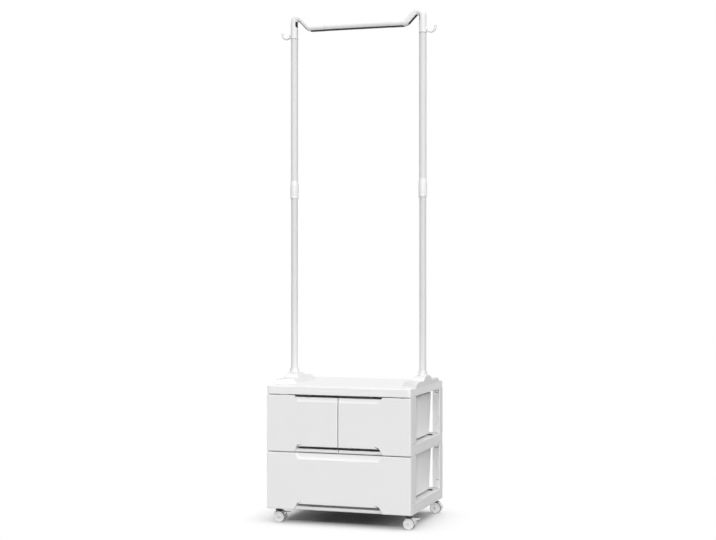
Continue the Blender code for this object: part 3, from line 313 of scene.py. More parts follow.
def tray(edge_z, deck_z, front, corner, edge_radius, sunk=0.0, window=None):
    """Tray as one closed profile carried round a rounded rectangle: deck underside, inner wall, rounded
    rim, outer wall with a shallow line at half its height, rounded top edge and deck. The profile is an
    inset from the outer wall and a height. A sunk deck adds the pocket for a drawer; over a window the
    front wall starts higher."""
    half, fillet, groove, straight = WALL / 2.0, 0.002, 0.0005, 0.004
    top = deck_z - edge_radius - 0.003
    line = (edge_z + deck_z) / 2.0 + np.array([-0.0010, -0.0005, 0.0005, 0.0010])
    inset = np.concatenate([
        [WALL + 0.0025], WALL + fillet * SINE_GAP, [WALL], half + half * np.cos(HALF_TURN),
        [0.0, 0.0, groove, groove, 0.0, 0.0], edge_radius * COSINE_GAP,
        [edge_radius + straight]])
    height = np.concatenate([
        [deck_z - WALL], deck_z - WALL - fillet * COSINE_GAP, [edge_z + straight],
        edge_z + half - half * np.sin(HALF_TURN), [edge_z + straight], line, [top],
        deck_z - edge_radius * SINE_GAP, [deck_z]])
    sides = [-CHEST_SIDE + inset, CHEST_SIDE - inset, front + inset, CHEST_REAR - inset,
             np.maximum(corner - inset, 0.0008)]
    if sunk:
        wide = np.array([0.0, 0.0006, 0.0010, 0.0016])
        under = np.array([-WALL, -WALL])
        pocket = np.array([-POCKET_SIDE, POCKET_SIDE, POCKET_FRONT, POCKET_REAR, 0.004])[:, None]
        inwards = np.array([1.0, -1.0, 1.0, -1.0, -0.5])[:, None]
        sides = np.concatenate([pocket + inwards * under, sides, pocket + inwards * wide], 1)
        height = np.concatenate([
            [deck_z - sunk - WALL, deck_z - WALL], height,
            deck_z - np.array([0.0, 0.0004, sunk - 0.0008, sunk])])
    loops = rounded_loops(*sides)
    rings = at_heights(loops, height)
    if window is not None:
        ends = np.array([-WINDOW_HALF - 0.0005, -WINDOW_HALF, WINDOW_HALF, WINDOW_HALF + 0.0005])
        share = (height - edge_z) * (top - window) / (top - edge_z)
        raised = np.where(height < top, window + share, height)
        level = np.stack([height, raised, raised, height], 1)
        last = 3 * (len(QUARTER) + 2)
        front_row = np.stack([ends + 0.0 * level, rings[:, last:last + 1, 1] + 0.0 * level, level], -1)
        rings = np.concatenate([rings[:, :last], front_row, rings[:, last:]], 1)
    return ring_skin(rings)


def lug(x, edge_z, deck_z):
    """Plate with a round hole: an outer rounded rectangle and a circle with its points at the same
    bearings, joined front and back."""
    peg_z, head, corner = edge_z - PEG_DROP, deck_z - 0.002, 0.004
    outer = rounded_loops(x - LUG_HALF, x + LUG_HALF, edge_z - LUG_DROP, head, corner)[0]
    bearing = np.arctan2(outer[:, 1] - peg_z, outer[:, 0] - x)
    hole = np.stack([x + PEG_HOLE * np.cos(bearing), peg_z + PEG_HOLE * np.sin(bearing)], -1)
    lifted = at_heights(
        np.stack([outer, outer, hole, hole]), np.array([LUG_FRONT, LUG_REAR, LUG_REAR, LUG_FRONT]))
    return ring_skin(lifted[..., [0, 2, 1]], looped=True)


def castor_socket(side, y):
    """Round socket under the deck, with two webs out to the skirt."""
    x, end = side * CASTOR_X, np.sign(y)
    start, half, low, high, edge = 0.007, 0.001, 0.054, 0.0838, 0.0004
    skirt_y = FRAME_FRONT if y < 0.0 else CHEST_REAR
    across = np.sort([side * (CASTOR_X + start), side * (CHEST_SIDE - WALL / 2.0)])
    along = np.sort([y + end * start, skirt_y - end * WALL / 2.0])
    profile = np.array([
        (0.0043, 0.0502), (0.0086, 0.0502), (0.0090, 0.0506), (0.0092, 0.0600), (0.0096, 0.0840),
        (0.0043, 0.0840)])
    return [
        turned(*profile.T, (x, y, 0.0), sides=40),
        rounded_block(*across, y - half, y + half, low, high, edge),
        rounded_block(x - half, x + half, *along, low, high, edge)]


def deck_frame(edge_z, deck_z, window, runners):
    """Tray with a finger window in its front wall, the bar below the window, and runners in the sunk
    deck."""
    skins = [tray(edge_z, deck_z, FRAME_FRONT, FRAME_CORNER, FRAME_ROUND, POCKET_DEPTH, window[1])]
    bar_half, thin, bar_round = WINDOW_HALF + 0.004, 0.0001, 0.0008
    skins.append(rounded_block(
        -bar_half, bar_half, FRAME_FRONT + thin, FRAME_FRONT + WALL - thin, edge_z, window[0], bar_round))
    front, rear, foot = POCKET_FRONT + 0.003, POCKET_REAR - 0.006, deck_z - POCKET_DEPTH - 0.001
    for x in runners:
        skins.append(rounded_block(x - RUNNER_HALF, x + RUNNER_HALF, front, rear, foot, deck_z, FINE_ROUND))
    return skins


base_skins = deck_frame(BASE_EDGE, BASE_DECK, BASE_WINDOW, BASE_RUNNERS)
base_skins.append(rounded_block(
    -WEB_HALF, WEB_HALF, WEB_FRONT, WEB_REAR, BASE_EDGE, BASE_DECK - WALL / 2.0, FINE_ROUND))
mid_skins = deck_frame(MID_EDGE, MID_DECK, MID_WINDOW, MID_RUNNERS)
mid_skins.append(rounded_block(
    -GUIDE_HALF, GUIDE_HALF, GUIDE_FRONT, GUIDE_REAR, MID_DECK - 0.007, MID_DECK + GUIDE_RISE, 0.0015))
for side in SIDES.values():
    for y in CASTOR_Y.values():
        base_skins += castor_socket(side, y)
    mid_skins.append(lug(side * LUG_X, MID_EDGE, MID_DECK))
for name, skins, deck, node in (
        ("tray_base", base_skins, BASE_DECK, "base_frame"), ("tray_mid", mid_skins, MID_DECK, "mid_frame")):
    # Painted shade: a low strip painted black along the foot of the pocket's rear wall.
    shade_strip = rounded_block(-SHADE_STRIP_HALF, SHADE_STRIP_HALF, POCKET_REAR - SHADE_STRIP_DEPTH, POCKET_REAR - 0.0002,
                           deck - POCKET_DEPTH - 0.0005, deck - 0.0010, 0.0010)
    piece = build(name, skins + [shade_strip], frame_plastic, "chest", "frame_plastic", node)
    plain = sum(len(points) for points, _ in skins)
    paint_shade(piece, np.concatenate([np.zeros(plain), np.full(len(shade_strip[0]), SHADE_STRIP_LEVEL)]))


# Castors: a hood with a band over two wheels, on a stem that swivels in the base frame. Hood,
# wheels and brake lever are white nylon; the treads and the hood's top round the stem are painted
# black as painted shade. Stem and axle are plated steel. The two at the front have a lever between
# two ears on the band.
TRAIL = 0.006
AXLE_Z = 0.019
BAND_INNER, BAND_OUTER, BAND_HALF, BAND_SWEEP = 0.0204, 0.0224, 0.0126, np.radians([-8.0, 138.0])
UPRIGHT_LONG, UPRIGHT_HALF, UPRIGHT_HEAD = 0.007, 0.0032, 0.0418
HOOD_SHADE_FOOT, HOOD_SHADE_LEVEL = 0.0392, 0.92
EARS = (-0.0094, 0.0068)
LEVER_X, LEVER_Z, LEVER_TILT = 0.02697, 0.033684, np.radians(14.0)
WHEEL_OUT, TREAD_RADIUS, TREAD_SHADE_LEVEL = 0.0081, 0.0182, 0.85
castor_plastic = plastic("castor_plastic", 0.780, 0.755, 0.830,
                         grain=2200.0, gloss=0.36, wear=0.6, bump=0.2)
wheel_plastic = plastic("wheel_plastic", 0.900, 0.870, 0.840,
                        grain=1800.0, gloss=0.46, wear=0.8, bump=0.35, tints=(0.003, 0.004))


def zinc_group():
    """Zinc plate: small crystals and stains in the colour, the same stains in the gloss, and a fine grain
    in the height."""
    tree, given, out = new_group(
        "zinc_plate", [("Colour", "Color", (0.6, 0.6, 0.6, 1.0)), ("Dull", "Color", (0.4, 0.4, 0.4, 1.0))])
    place = tree.nodes.new("ShaderNodeTexCoord").outputs["Object"]
    crystal = tree.nodes.new("ShaderNodeTexVoronoi")
    crystal.inputs["Scale"].default_value = 900.0
    tree.links.new(place, crystal.inputs["Vector"])
    shade = tree.nodes.new("ShaderNodeSeparateColor")
    tree.links.new(crystal.outputs["Color"], shade.inputs["Color"])
    stain = noise_node(tree, place, 160.0, 3.0)
    factor = math_node(tree, "MULTIPLY", shade.outputs[0], stain)
    plate = blend_node(tree, factor, given["Colour"], given["Dull"])
    tree.links.new(plate, out["Colour"])
    gloss = math_node(tree, "ADD", math_node(tree, "MULTIPLY", stain, 0.3), 0.22)
    tree.links.new(gloss, out["Roughness"])
    tree.links.new(noise_node(tree, place, 2400.0, 2.0), out["Height"])
    return tree


zinc_steel = surface("zinc_steel", zinc_group(), {
    "Colour": (0.62, 0.63, 0.65, 1.0), "Dull": (0.45, 0.46, 0.48, 1.0)}, 0.2, metallic=1.0)


def carried(node, material):
    """A solid of the frame that keeps its shape and gets this finish."""
    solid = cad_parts[node]
    solid.data.materials.clear()
    solid.data.materials.append(material)


def bow(centre, angle, inner, outer, half, radius):
    """Band bent round an axle: a rounded rectangle, radial by crosswise, carried along an arc. Its two end
    sections draw in, so that the ends are round."""
    draw = radius * SINE_GAP
    reach = radius * COSINE_GAP / outer
    sweep = np.linspace(angle[0] + reach[-1], angle[1] - reach[-1], 40)[1:-1]
    turn = np.concatenate([angle[0] + reach, sweep, angle[1] - reach[::-1]])
    inset = np.concatenate([draw, np.zeros(len(sweep)), draw[::-1]])
    corner = np.maximum(radius - inset, 0.0001)
    section = rounded_loops(inner + inset, outer - inset, -half + inset, half - inset, corner, 0.0004)
    x = centre[0] + section[..., 0] * np.cos(turn)[:, None]
    z = centre[2] + section[..., 0] * np.sin(turn)[:, None]
    return ring_skin(np.stack([x, centre[1] + section[..., 1], z], -1))


def castor_hood(x, y, braked):
    """Hood at rest: web disc, upright, band and boss, and the ears of a brake lever."""
    axle = (x + TRAIL, y, AXLE_Z)
    web = turned(
        [0.0026, 0.0112, 0.0120, 0.0120, 0.0112, 0.0026],
        [-UPRIGHT_HALF, -UPRIGHT_HALF, -0.0025, 0.0025, UPRIGHT_HALF, UPRIGHT_HALF], axle, "y", 48)
    upright = rounded_block(x - UPRIGHT_LONG, x + UPRIGHT_LONG, y - UPRIGHT_HALF, y + UPRIGHT_HALF,
                            AXLE_Z, UPRIGHT_HEAD, 0.0008)
    band = bow(axle, BAND_SWEEP, BAND_INNER, BAND_OUTER, BAND_HALF, 0.0009)
    boss = turned(
        [0.0042, 0.0076, 0.0080, 0.0084, 0.0098, 0.0098, 0.0042],
        [0.0475, 0.0475, 0.0470, 0.0445, 0.0410, 0.0400, 0.0400], (x, y, 0.0), sides=48)
    skins = [web, upright, band, boss]
    if braked:
        pivot = (x + LEVER_X, y, LEVER_Z)
        for low in EARS:
            skins.append(turned(
                [0.0017, 0.0036, 0.0040, 0.0040, 0.0036, 0.0017],
                low + np.array([0.0, 0.0, 0.0004, 0.0022, 0.0026, 0.0026]), pivot, "y", 32))
    return skins


def castor_wheel(centre, outer):
    """Wheel turned about its axle. On the outer face the dished ring between hub and rim carries ribs: its
    depth rises to each rib with the cosine of the angle times their number, cut off at a flat top."""
    sides, ribs, hub, rim, rib_face = 100, 5.0, 0.0055, 0.0131, 0.0038
    rib = np.clip(np.cos(ribs * all_round(sides)) * 6.0 - 4.6, 0.0, 1.0)
    radius = np.array([
        0.0026, 0.0050, 0.0056, 0.0060, 0.0064, 0.0124, 0.0128, 0.0134, 0.0160, 0.0176, 0.0186, 0.0190,
        0.0190, 0.0186, 0.0176, 0.0150, 0.0130, 0.0060, 0.0026])
    along = np.array([
        0.0045, 0.0045, 0.0042, 0.0034, 0.0029, 0.0029, 0.0034, 0.0040, 0.0043, 0.0041, 0.0032, 0.0018,
        -0.0018, -0.0032, -0.0041, -0.0043, -0.0038, -0.0038, -0.0043])
    dish = np.where((radius > hub) & (radius < rim) & (along > 0.0), rib_face - along, 0.0)
    along = along[:, None] + np.maximum(dish, 0.0)[:, None] * rib
    return turned(radius, outer * along, centre, "y", sides)


def brake_lever(x, y):
    """Lever: a round knuckle across the ears with a foot tab. The tab is a rounded rectangle carried along
    a line that leaves the knuckle at the lever's tilt; two grooves near its end give the foot a grip."""
    pivot = np.array([x + LEVER_X, y, LEVER_Z])
    pin = np.array([0.0026, 0.0024, 0.0013, 0.0013, 0.0010, 0.0006])
    out = np.array([0.0062, 0.0065, 0.0066, 0.0090, 0.0094, 0.0094])
    knuckle = turned(
        np.concatenate([pin[::-1], pin]), np.concatenate([-out[::-1], out]), pivot, "y", 32, looped=False)
    run = np.array([
        0.0008, 0.0024, 0.0045, 0.0075, 0.0085, 0.0087, 0.0096, 0.0098, 0.0110, 0.0112, 0.0121, 0.0123,
        0.0140, 0.0147, 0.0150])
    upper = np.array([
        0.0016, 0.0017, 0.0017, 0.0017, 0.0017, 0.0013, 0.0013, 0.0017, 0.0017, 0.0013, 0.0013, 0.0017,
        0.0016, 0.0012, 0.0006])
    half = np.array([
        0.0058, 0.0062, 0.0064, 0.0065, 0.0065, 0.0065, 0.0065, 0.0065, 0.0065, 0.0065, 0.0064, 0.0064,
        0.0060, 0.0056, 0.0050])
    lower = np.minimum(upper, np.where(run > 0.0138, upper, 0.0016))
    section = rounded_loops(-half, half, -lower, upper, np.minimum(lower, upper) * 0.6, 0.0003)
    ahead, rise = np.cos(LEVER_TILT), np.sin(LEVER_TILT)
    rings = np.stack([
        pivot[0] + run[:, None] * ahead - section[..., 1] * rise,
        pivot[1] + section[..., 0],
        pivot[2] + run[:, None] * rise + section[..., 1] * ahead], -1)
    return [knuckle, ring_skin(rings)]


for end, y in CASTOR_Y.items():
    for label, side in SIDES.items():
        corner, x = f"{end}_{label}", side * CASTOR_X
        skins = castor_hood(x, y, end == "front")
        piece = build("hood_" + corner, skins, castor_plastic, "castor_" + corner, "castor_plastic",
                      "castor_hood_" + corner)
        # Painted shade: the hood's top above this height is painted black, where the chest shades it.
        height = np.concatenate([points[:, 2] for points, _ in skins])
        paint_shade(piece, HOOD_SHADE_LEVEL * (height > HOOD_SHADE_FOOT))
        for letter, outer in (("a", -1.0), ("b", 1.0)):
            node = f"castor_wheel_{corner}_{letter}"
            centre = (x + TRAIL, y + outer * WHEEL_OUT, AXLE_Z)
            skin = castor_wheel(centre, outer)
            piece = build(f"wheel_{corner}_{letter}", [skin], wheel_plastic, node, "wheel_plastic", node)
            # Painted shade: the tread is painted black for the shaded gap between wheel and band.
            reach = np.hypot(skin[0][:, 0] - centre[0], skin[0][:, 2] - centre[2])
            paint_shade(piece, TREAD_SHADE_LEVEL * (reach > TREAD_RADIUS))
        if end == "front":
            node = "brake_lever_" + corner
            build("lever_" + corner, brake_lever(x, y), castor_plastic, node, "castor_plastic", node)
        carried("castor_stem_" + corner, zinc_steel)
        carried("castor_axle_" + corner, zinc_steel)


# Corner posts and lock pegs: square posts at the front and angle posts at the rear, moulded in
# the same white plastic as the trays. They push into the decks, and a round peg through lug and
# post locks each rear corner; the floor of the peg's groove is painted dark as painted shade.
BOARD_EDGE, BOARD_TOP = 0.435, 0.4625
POST_FIT = 0.0003
POST_INNER, POST_DEPTH, POST_ROUND = 0.228, 0.048, 0.0016
FLANGE_BACK, FLANGE_SIDE, FLANGE_THICK = 0.036, 0.044, 0.0035
HEEL_INNER, HEEL_OUTER, HEEL_FRONT, HEEL_REAR, HEEL_RISE = 0.2323, 0.2468, 0.1786, 0.1995, 0.0297
RING_INNER, RING_OUTER, RING_DEPTH, GROOVE_SHADE_LEVEL = 0.0045, 0.0082, 0.0026, 0.5
fitting_plastic = plastic("fitting_plastic", 0.880, 0.866, 0.900,
                          grain=2000.0, gloss=0.48, wear=0.5, bump=0.2)


def rounded_outline(corners, radius, margin=0.002):
    """Polygon with round corners: each corner gives way to the quadratic curve that leaves one side, aims
    at the corner and joins the next side, with one more point on the straight at either end."""
    before, after = np.roll(corners, 1, 0) - corners, np.roll(corners, -1, 0) - corners
    before /= np.linalg.norm(before, axis=1, keepdims=True)
    after /= np.linalg.norm(after, axis=1, keepdims=True)
    radius = np.broadcast_to(radius, len(corners))[:, None]
    first, last = corners + before * radius, corners + after * radius
    t = np.linspace(0.0, 1.0, 7)[:, None, None]
    curve = (1.0 - t) ** 2 * first + 2.0 * t * (1.0 - t) * corners + t ** 2 * last
    curve = np.concatenate([(first + before * margin)[None], curve, (last + after * margin)[None]])
    return curve.transpose(1, 0, 2).reshape(-1, 2)


def angle_post(side, low, high):
    """Angle section carried straight up between deck and skirt: a side flange and a back flange with a
    round outer corner. A block in the corner forms its heel."""
    inner_x, inner_y = CHEST_SIDE - FLANGE_THICK, CHEST_REAR - FLANGE_THICK
    end_x, end_y = CHEST_SIDE - FLANGE_BACK, CHEST_REAR - FLANGE_SIDE
    corners = np.array([
        (CHEST_SIDE, CHEST_REAR), (end_x, CHEST_REAR), (end_x, inner_y), (inner_x, inner_y),
        (inner_x, end_y), (CHEST_SIDE, end_y)])
    section = rounded_outline(corners, [0.0035, 0.0012, 0.0012, 0.0025, 0.0012, 0.0012], 0.0004)
    section = section * (side, 1.0)
    heights = np.array([low, low + 0.004, high - 0.004, high])
    post = ring_skin(at_heights(np.broadcast_to(section, (4, *section.shape)), heights))
    heel_x = np.sort([side * HEEL_INNER, side * HEEL_OUTER])
    return [post, rounded_block(*heel_x, HEEL_FRONT, HEEL_REAR, low, low + HEEL_RISE, POST_ROUND)]


def lock_peg(side, edge_z):
    """Peg turned about its axis: a rim against the lug, a deep ring-shaped groove and a domed pin in the
    middle."""
    radius = np.array([
        0.0006, 0.0024, 0.0038, 0.0044, 0.0046, 0.0050, 0.0078, 0.0081, 0.0083, 0.0092, 0.0095, 0.0095,
        0.0089, 0.0089, 0.0055, 0.0055, 0.0052, 0.0006])
    along = np.array([
        -0.0028, -0.0027, -0.0022, -0.0014, 0.0010, 0.0024, 0.0024, 0.0010, -0.0022, -0.0024, -0.0019,
        -0.0003, -0.0003, 0.0028, 0.0029, 0.0064, 0.0067, 0.0067])
    return turned(radius, along, (side * LUG_X, LUG_FRONT, edge_z - PEG_DROP), "y", 48, looped=False)


for tier, (deck, skirt) in {"lower": (BASE_DECK, MID_EDGE), "upper": (MID_DECK, BOARD_EDGE)}.items():
    for label, side in SIDES.items():
        post, corner = f"{tier}_{label}", np.sort([side * POST_INNER, side * CHEST_SIDE])
        low, high = deck + POST_FIT, skirt - POST_FIT
        front_post = rounded_block(*corner, FRAME_FRONT, FRAME_FRONT + POST_DEPTH, low, high, POST_ROUND)
        build("post_front_" + post, [front_post], frame_plastic, "chest", "frame_plastic",
              "front_post_" + post)
        build("post_rear_" + post, angle_post(side, low, high), frame_plastic, "chest", "frame_plastic",
              "rear_post_" + post)
        skin = lock_peg(side, skirt)
        piece = build("peg_" + post, [skin], fitting_plastic, "chest", "fitting_plastic",
                      "lock_peg_" + post)
        # Painted shade: the floor of the peg's groove is painted dark.
        x, y, z = skin[0].T
        reach = np.hypot(x - side * LUG_X, z - skirt + PEG_DROP)
        ring = (reach > RING_INNER) & (reach < RING_OUTER) & (y < LUG_FRONT + RING_DEPTH)
        paint_shade(piece, GROOVE_SHADE_LEVEL * ring)


# Top board: a moulded white board with round corners and a round top edge, open underneath.
# It sits on the upper posts, with a lug at each rear corner, and carries the pole brackets.
board_plastic = plastic("board_plastic", 0.860, 0.845, 0.890,
                        grain=1300.0, gloss=0.38, wear=0.45, bump=0.25)
BOARD_CORNER, BOARD_ROUND = 0.007, 0.0032
board_skins = [tray(BOARD_EDGE, BOARD_TOP, -CHEST_REAR, BOARD_CORNER, BOARD_ROUND)]
board_skins += [lug(side * LUG_X, BOARD_EDGE, BOARD_TOP) for side in SIDES.values()]
build("board", board_skins, board_plastic, "chest", "board_plastic", "top_board")


# Drawer fronts: moulded white panels, hollow from behind, clipped on the tubs. A finger notch
# with leaning ends and a lip set back in it runs along the lower edge, and a hollow scoop along
# the top edge; on the upper pair both run on from one front to the other.
GRIP_HALF, GRIP_LEAN = 0.154, 0.7
GRIP_HEIGHT, GRIP_DEPTH = 0.0192, 0.010
LIP_RISE, LIP_LEAST, LIP_FOOT, LIP_END = 0.0108, 0.0030, 0.0016, 0.010
SCOOP_HEIGHT, SCOOP_DEPTH = 0.021, 0.0078
SCOOP_DROP = {"lower_drawer": 0.0005, "upper_left_drawer": 0.006, "upper_right_drawer": 0.006}
FRONT_EDGE, FRONT_WALL = 0.003, 0.003
EDGE_STEPS = np.array([0.0, 0.0002, 0.0006, 0.0012, 0.0020, 0.0030, 0.0045])
DIP_END, DIP_HEIGHT, SCOOP_END = 0.003, 0.0165, 0.0012
POCKET_LOW, POCKET_HIGH, POCKET_STEP = 0.0275, 0.0238, 0.0006
CLIP_INSET, CLIP_HALF = 0.048, 0.016
front_plastic = plastic("front_plastic", 0.835, 0.822, 0.865,
                        grain=1700.0, gloss=0.37, wear=0.45, bump=0.2)


def plate_skin(front, back, steps=(0.12, 0.88)):
    """Skin round a plate from two grids of points that face each other: both grids, and round their rim
    quads from the one to the other, in steps."""
    rows, cols = front.shape[:2]
    grid = np.arange(rows * cols).reshape(rows, cols)
    rim = np.concatenate([grid[0, :-1], grid[:-1, -1], grid[-1, :0:-1], grid[:0:-1, 0]])
    cells = np.stack([grid[:-1, :-1], grid[:-1, 1:], grid[1:, 1:], grid[1:, :-1]], -1).reshape(-1, 4)
    flat_front, flat_back = front.reshape(-1, 3), back.reshape(-1, 3)
    between = [flat_front[rim] * (1.0 - s) + flat_back[rim] * s for s in steps]
    points = np.concatenate([flat_front, flat_back, *between])
    size, around = rows * cols, len(rim)
    inner = [2 * size + i * around + np.arange(around) for i in range(len(steps))]
    levels = [rim, *inner, rim + size]
    walls = [np.stack([a, b, np.roll(b, -1), np.roll(a, -1)], -1) for a, b in zip(levels, levels[1:])]
    return outwards(points, np.concatenate([cells, cells[:, ::-1] + size, *walls]), [])


def quarter_fall(distance, radius):
    """How far a quarter-round edge has fallen away at a distance in from the edge: the radius less the
    height of its circle there."""
    near = np.clip(radius - distance, 0.0, radius)
    return radius - np.sqrt(np.maximum(radius ** 2 - near ** 2, 0.0))


def ease(share):
    """Smooth step from 0 to 1: three times the square of the share less twice its cube."""
    share = np.clip(share, 0.0, 1.0)
    return share * share * (3.0 - 2.0 * share)


def grip_lip(x0, x1, y0, y1, low):
    """Lip as rounded rectangles carried along x. Its top falls away towards the notch's ends as a quarter
    ellipse."""
    mark = np.array([0.0, 0.0003, 0.001, 0.002, 0.0035, 0.005, 0.007, LIP_END])
    ends = np.concatenate([-GRIP_HALF + mark, GRIP_HALF - mark])
    x = np.unique(np.concatenate([[x0, x1], ends[(ends > x0) & (ends < x1)]]))
    share = np.clip((GRIP_HALF - np.abs(x)) / LIP_END, 0.0, 1.0)
    top = low + LIP_LEAST + (LIP_RISE - LIP_LEAST) * np.sqrt(1.0 - (1.0 - share) ** 2)
    foot = low + LIP_FOOT * ease(share / 0.5)
    loops = rounded_loops(y0 + 0.0 * x, y1 + 0.0 * x, foot, top, 0.0006 + 0.0 * x)
    return ring_skin(at_heights(loops, x)[..., [2, 0, 1]])


def front_columns(x0, x1, clips):
    """Columns of a front along its lower edge, and which way each leans at the scoop. They lie close at
    the round sides, at the notch's ends and at the walls of the pockets."""
    end = np.array([
        -0.006, -0.0006, 0.0, 0.0003, 0.0007, 0.0012, 0.0030, 0.0060, 0.0090, 0.0120, 0.0138, 0.0142,
        0.019])
    marks = [(x0 + EDGE_STEPS, 0.0), (x1 - EDGE_STEPS[::-1], 0.0)]
    for sign in (-1.0, 1.0):
        if x0 < sign * GRIP_HALF < x1:
            marks.append((np.sort(sign * (GRIP_HALF - end)), sign))
    walls = [x0 + FRONT_WALL, x1 - FRONT_WALL] + [x + s for x in clips for s in (-CLIP_HALF, CLIP_HALF)]
    wall = np.array(sorted(w + s for w in walls for s in (-POCKET_STEP / 2.0, POCKET_STEP / 2.0)))
    marks.append((wall[np.abs(np.abs(wall) - GRIP_HALF + 0.007) > 0.030], 0.0))
    base = np.concatenate([m for m, _ in marks])
    lean = np.concatenate([np.full(len(m), s) for m, s in marks])
    order = np.argsort(base)
    return base[order], lean[order]


def drawer_front(x0, x1, z0, z1, y0, y1, clips, drop):
    """Front as a depth field over x and z. Its lowest rows climb over the notch from its leaning ends, its
    highest rows dip at the scoop, and the columns there lean with the scoop's ends. The depth behind the
    face is the scoop's, a cubic of the height that falls to nothing at its lower edge, plus the fall of
    the round edge. The back has pockets between the side walls and the bosses at the clips. The lip is a
    skin of its own."""
    base, lean = front_columns(x0, x1, clips)
    scoop = np.array([
        0.0275, 0.0240, 0.0236, 0.0218, 0.0214, 0.0210, 0.0204, 0.0190, 0.0165, 0.0140, 0.0115, 0.0090])
    height = np.concatenate([
        z0 + EDGE_STEPS, z0 + POCKET_LOW + np.array([-0.5, 0.5]) * POCKET_STEP,
        np.linspace(z0 + 0.04, z1 - 0.04, 4), z1 - scoop, z1 - EDGE_STEPS[::-1]])
    climb = np.concatenate([np.ones(len(EDGE_STEPS)), np.zeros(len(height) - len(EDGE_STEPS))])
    above = np.clip(z1 - height, 0.0, SCOOP_HEIGHT)
    half = GRIP_HALF - GRIP_LEAN * np.where(climb > 0.0, 0.0, above)
    x = base[None, :] + lean[None, :] * (half - GRIP_HALF)[:, None]
    notch = np.clip((GRIP_HALF - np.abs(x)) / GRIP_LEAN, 0.0, GRIP_HEIGHT)
    inside = (half[:, None] - np.abs(x)) / np.hypot(1.0, GRIP_LEAN)
    dip = drop * ease(inside / DIP_END) * np.clip(1.0 - (z1 - height) / DIP_HEIGHT, 0.0, 1.0)[:, None]
    z = height[:, None] + climb[:, None] * notch - dip

    bowl = np.clip(1.0 - ((z1 - z) / SCOOP_HEIGHT) ** 3, 0.0, 1.0)
    hollow = SCOOP_DEPTH * bowl * ease(inside / SCOOP_END)
    edge = FRONT_EDGE * (1.0 - 0.7 * np.clip(hollow / 0.004, 0.0, 1.0))
    side = np.minimum(x - x0, x1 - x)
    fall = np.minimum(z - z0 - climb[:, None] * notch, z1 - dip - z)
    fall = np.maximum(quarter_fall(fall, edge), quarter_fall(side, edge))
    face = np.stack([x, y0 + hollow + fall, z], -1)

    boss = np.min([np.abs(x - c) - CLIP_HALF for c in clips], 0)
    room = np.minimum(
        np.minimum(side - FRONT_WALL, boss), np.minimum(z - z0 - POCKET_LOW, z1 - POCKET_HIGH - z))
    back = np.stack([x, y1 - (y1 - y0 - FRONT_WALL) * ease(room / POCKET_STEP + 0.5), z], -1)
    gap = 0.0002
    ends = max(x0 + gap, -GRIP_HALF), min(x1 - gap, GRIP_HALF)
    return [plate_skin(face, back), grip_lip(*ends, y0 + GRIP_DEPTH, y1 - gap, z0)]


for drawer, drop in SCOOP_DROP.items():
    low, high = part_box(drawer + "_front")
    tub_low, tub_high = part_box(drawer + "_tub")
    clips = (tub_low.x + CLIP_INSET, tub_high.x - CLIP_INSET)
    skins = drawer_front(low.x, high.x, low.z, high.z, low.y, high.y, clips, drop)
    build("front_" + drawer, skins, front_plastic, drawer, "front_plastic", drawer + "_front")


# Drawer tubs: open white tubs that taper to the floor at the sides and the rear, moulded with
# a round rim and a filleted floor. They slide on the decks between the posts.
TUB_DRAFT, TUB_REAR_DRAFT, TUB_WALL, TUB_CORNER = 0.006, 0.0030, 0.0025, 0.004
TUB_FOOT, TUB_FILLET, TUB_GAP = 0.003, 0.006, 0.0003
tub_plastic = plastic("tub_plastic", 0.920, 0.906, 0.930,
                      grain=1200.0, gloss=0.45, wear=0.4, bump=0.3)


def drawer_tub(x0, x1, y0, y1, z0, z1):
    """Tub as rounded rectangles from the floor's underside up the outer wall, over the rim and down to the
    floor's top. Sides and rear move in by the draft in step with the depth below the rim."""
    half, floor, straight, flat = TUB_WALL / 2.0, z0 + TUB_WALL, 0.003, 0.006
    inset = np.concatenate([
        [TUB_FOOT + flat], TUB_FOOT * SINE_GAP, [0.0, 0.0], half - half * np.cos(HALF_TURN),
        [TUB_WALL, TUB_WALL], TUB_WALL + TUB_FILLET * COSINE_GAP,
        [TUB_WALL + TUB_FILLET + flat]])
    height = np.concatenate([
        [z0], z0 + TUB_FOOT * COSINE_GAP, [z0 + TUB_FOOT + straight, z1 - 2.0 * straight],
        z1 - half + half * np.sin(HALF_TURN), [z1 - 2.0 * straight, floor + TUB_FILLET + straight],
        floor + TUB_FILLET * SINE_GAP, [floor]])
    depth = (z1 - height) / (z1 - z0)
    draft, rear = TUB_DRAFT * depth, TUB_REAR_DRAFT * depth
    corner = np.maximum(TUB_CORNER - inset, 0.001)
    loops = rounded_loops(
        x0 + draft + inset, x1 - draft - inset, y0 + inset, y1 - rear - inset, corner, straight)
    return ring_skin(at_heights(loops, height))


for drawer in SCOOP_DROP:
    low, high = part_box(drawer + "_tub")
    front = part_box(drawer + "_front")[1].y
    skin = drawer_tub(low.x, high.x, front + TUB_GAP, high.y, low.z, high.z)
    build("tub_" + drawer, [skin], tub_plastic, drawer, "tub_plastic", drawer + "_tub")


# Pole brackets: scalloped white feet at both sides of the board, each moulded with a collar
# that takes the pole, and held from below by two plated screws.
POLE_X, POLE_Y = 0.2315, 0.00925
BRACKET_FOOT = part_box("pole_bracket_left")[0].z
COLLAR_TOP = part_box("pole_bracket_left")[1].z
BRACKET_HALF, BRACKET_INNER_HALF, BRACKET_WIDTH = 0.148, 0.095, 0.063
END_LOBE_HALF, END_LOBE_HEIGHT = 0.063, 0.0165
MIDDLE_LOBE_HALF, MIDDLE_LOBE_HEIGHT = 0.052, 0.032
INNER_SLOPE, END_SLOPE, LEAST_HEIGHT, BRACKET_ROUND = 32.0 / 28.0, 2.2, 0.0006, 0.003
bracket_plastic = plastic("bracket_plastic", 0.762, 0.748, 0.795,
                          grain=1900.0, gloss=0.38, wear=0.5, bump=0.2)


def lobe(y, centre, half, height):
    """Height of a rounded lobe along y: a superellipse of power 2.5, and zero outside it."""
    share = np.clip(np.abs(y - centre) / half, 0.0, 1.0)
    return height * (1.0 - share ** 2.5) ** 0.4


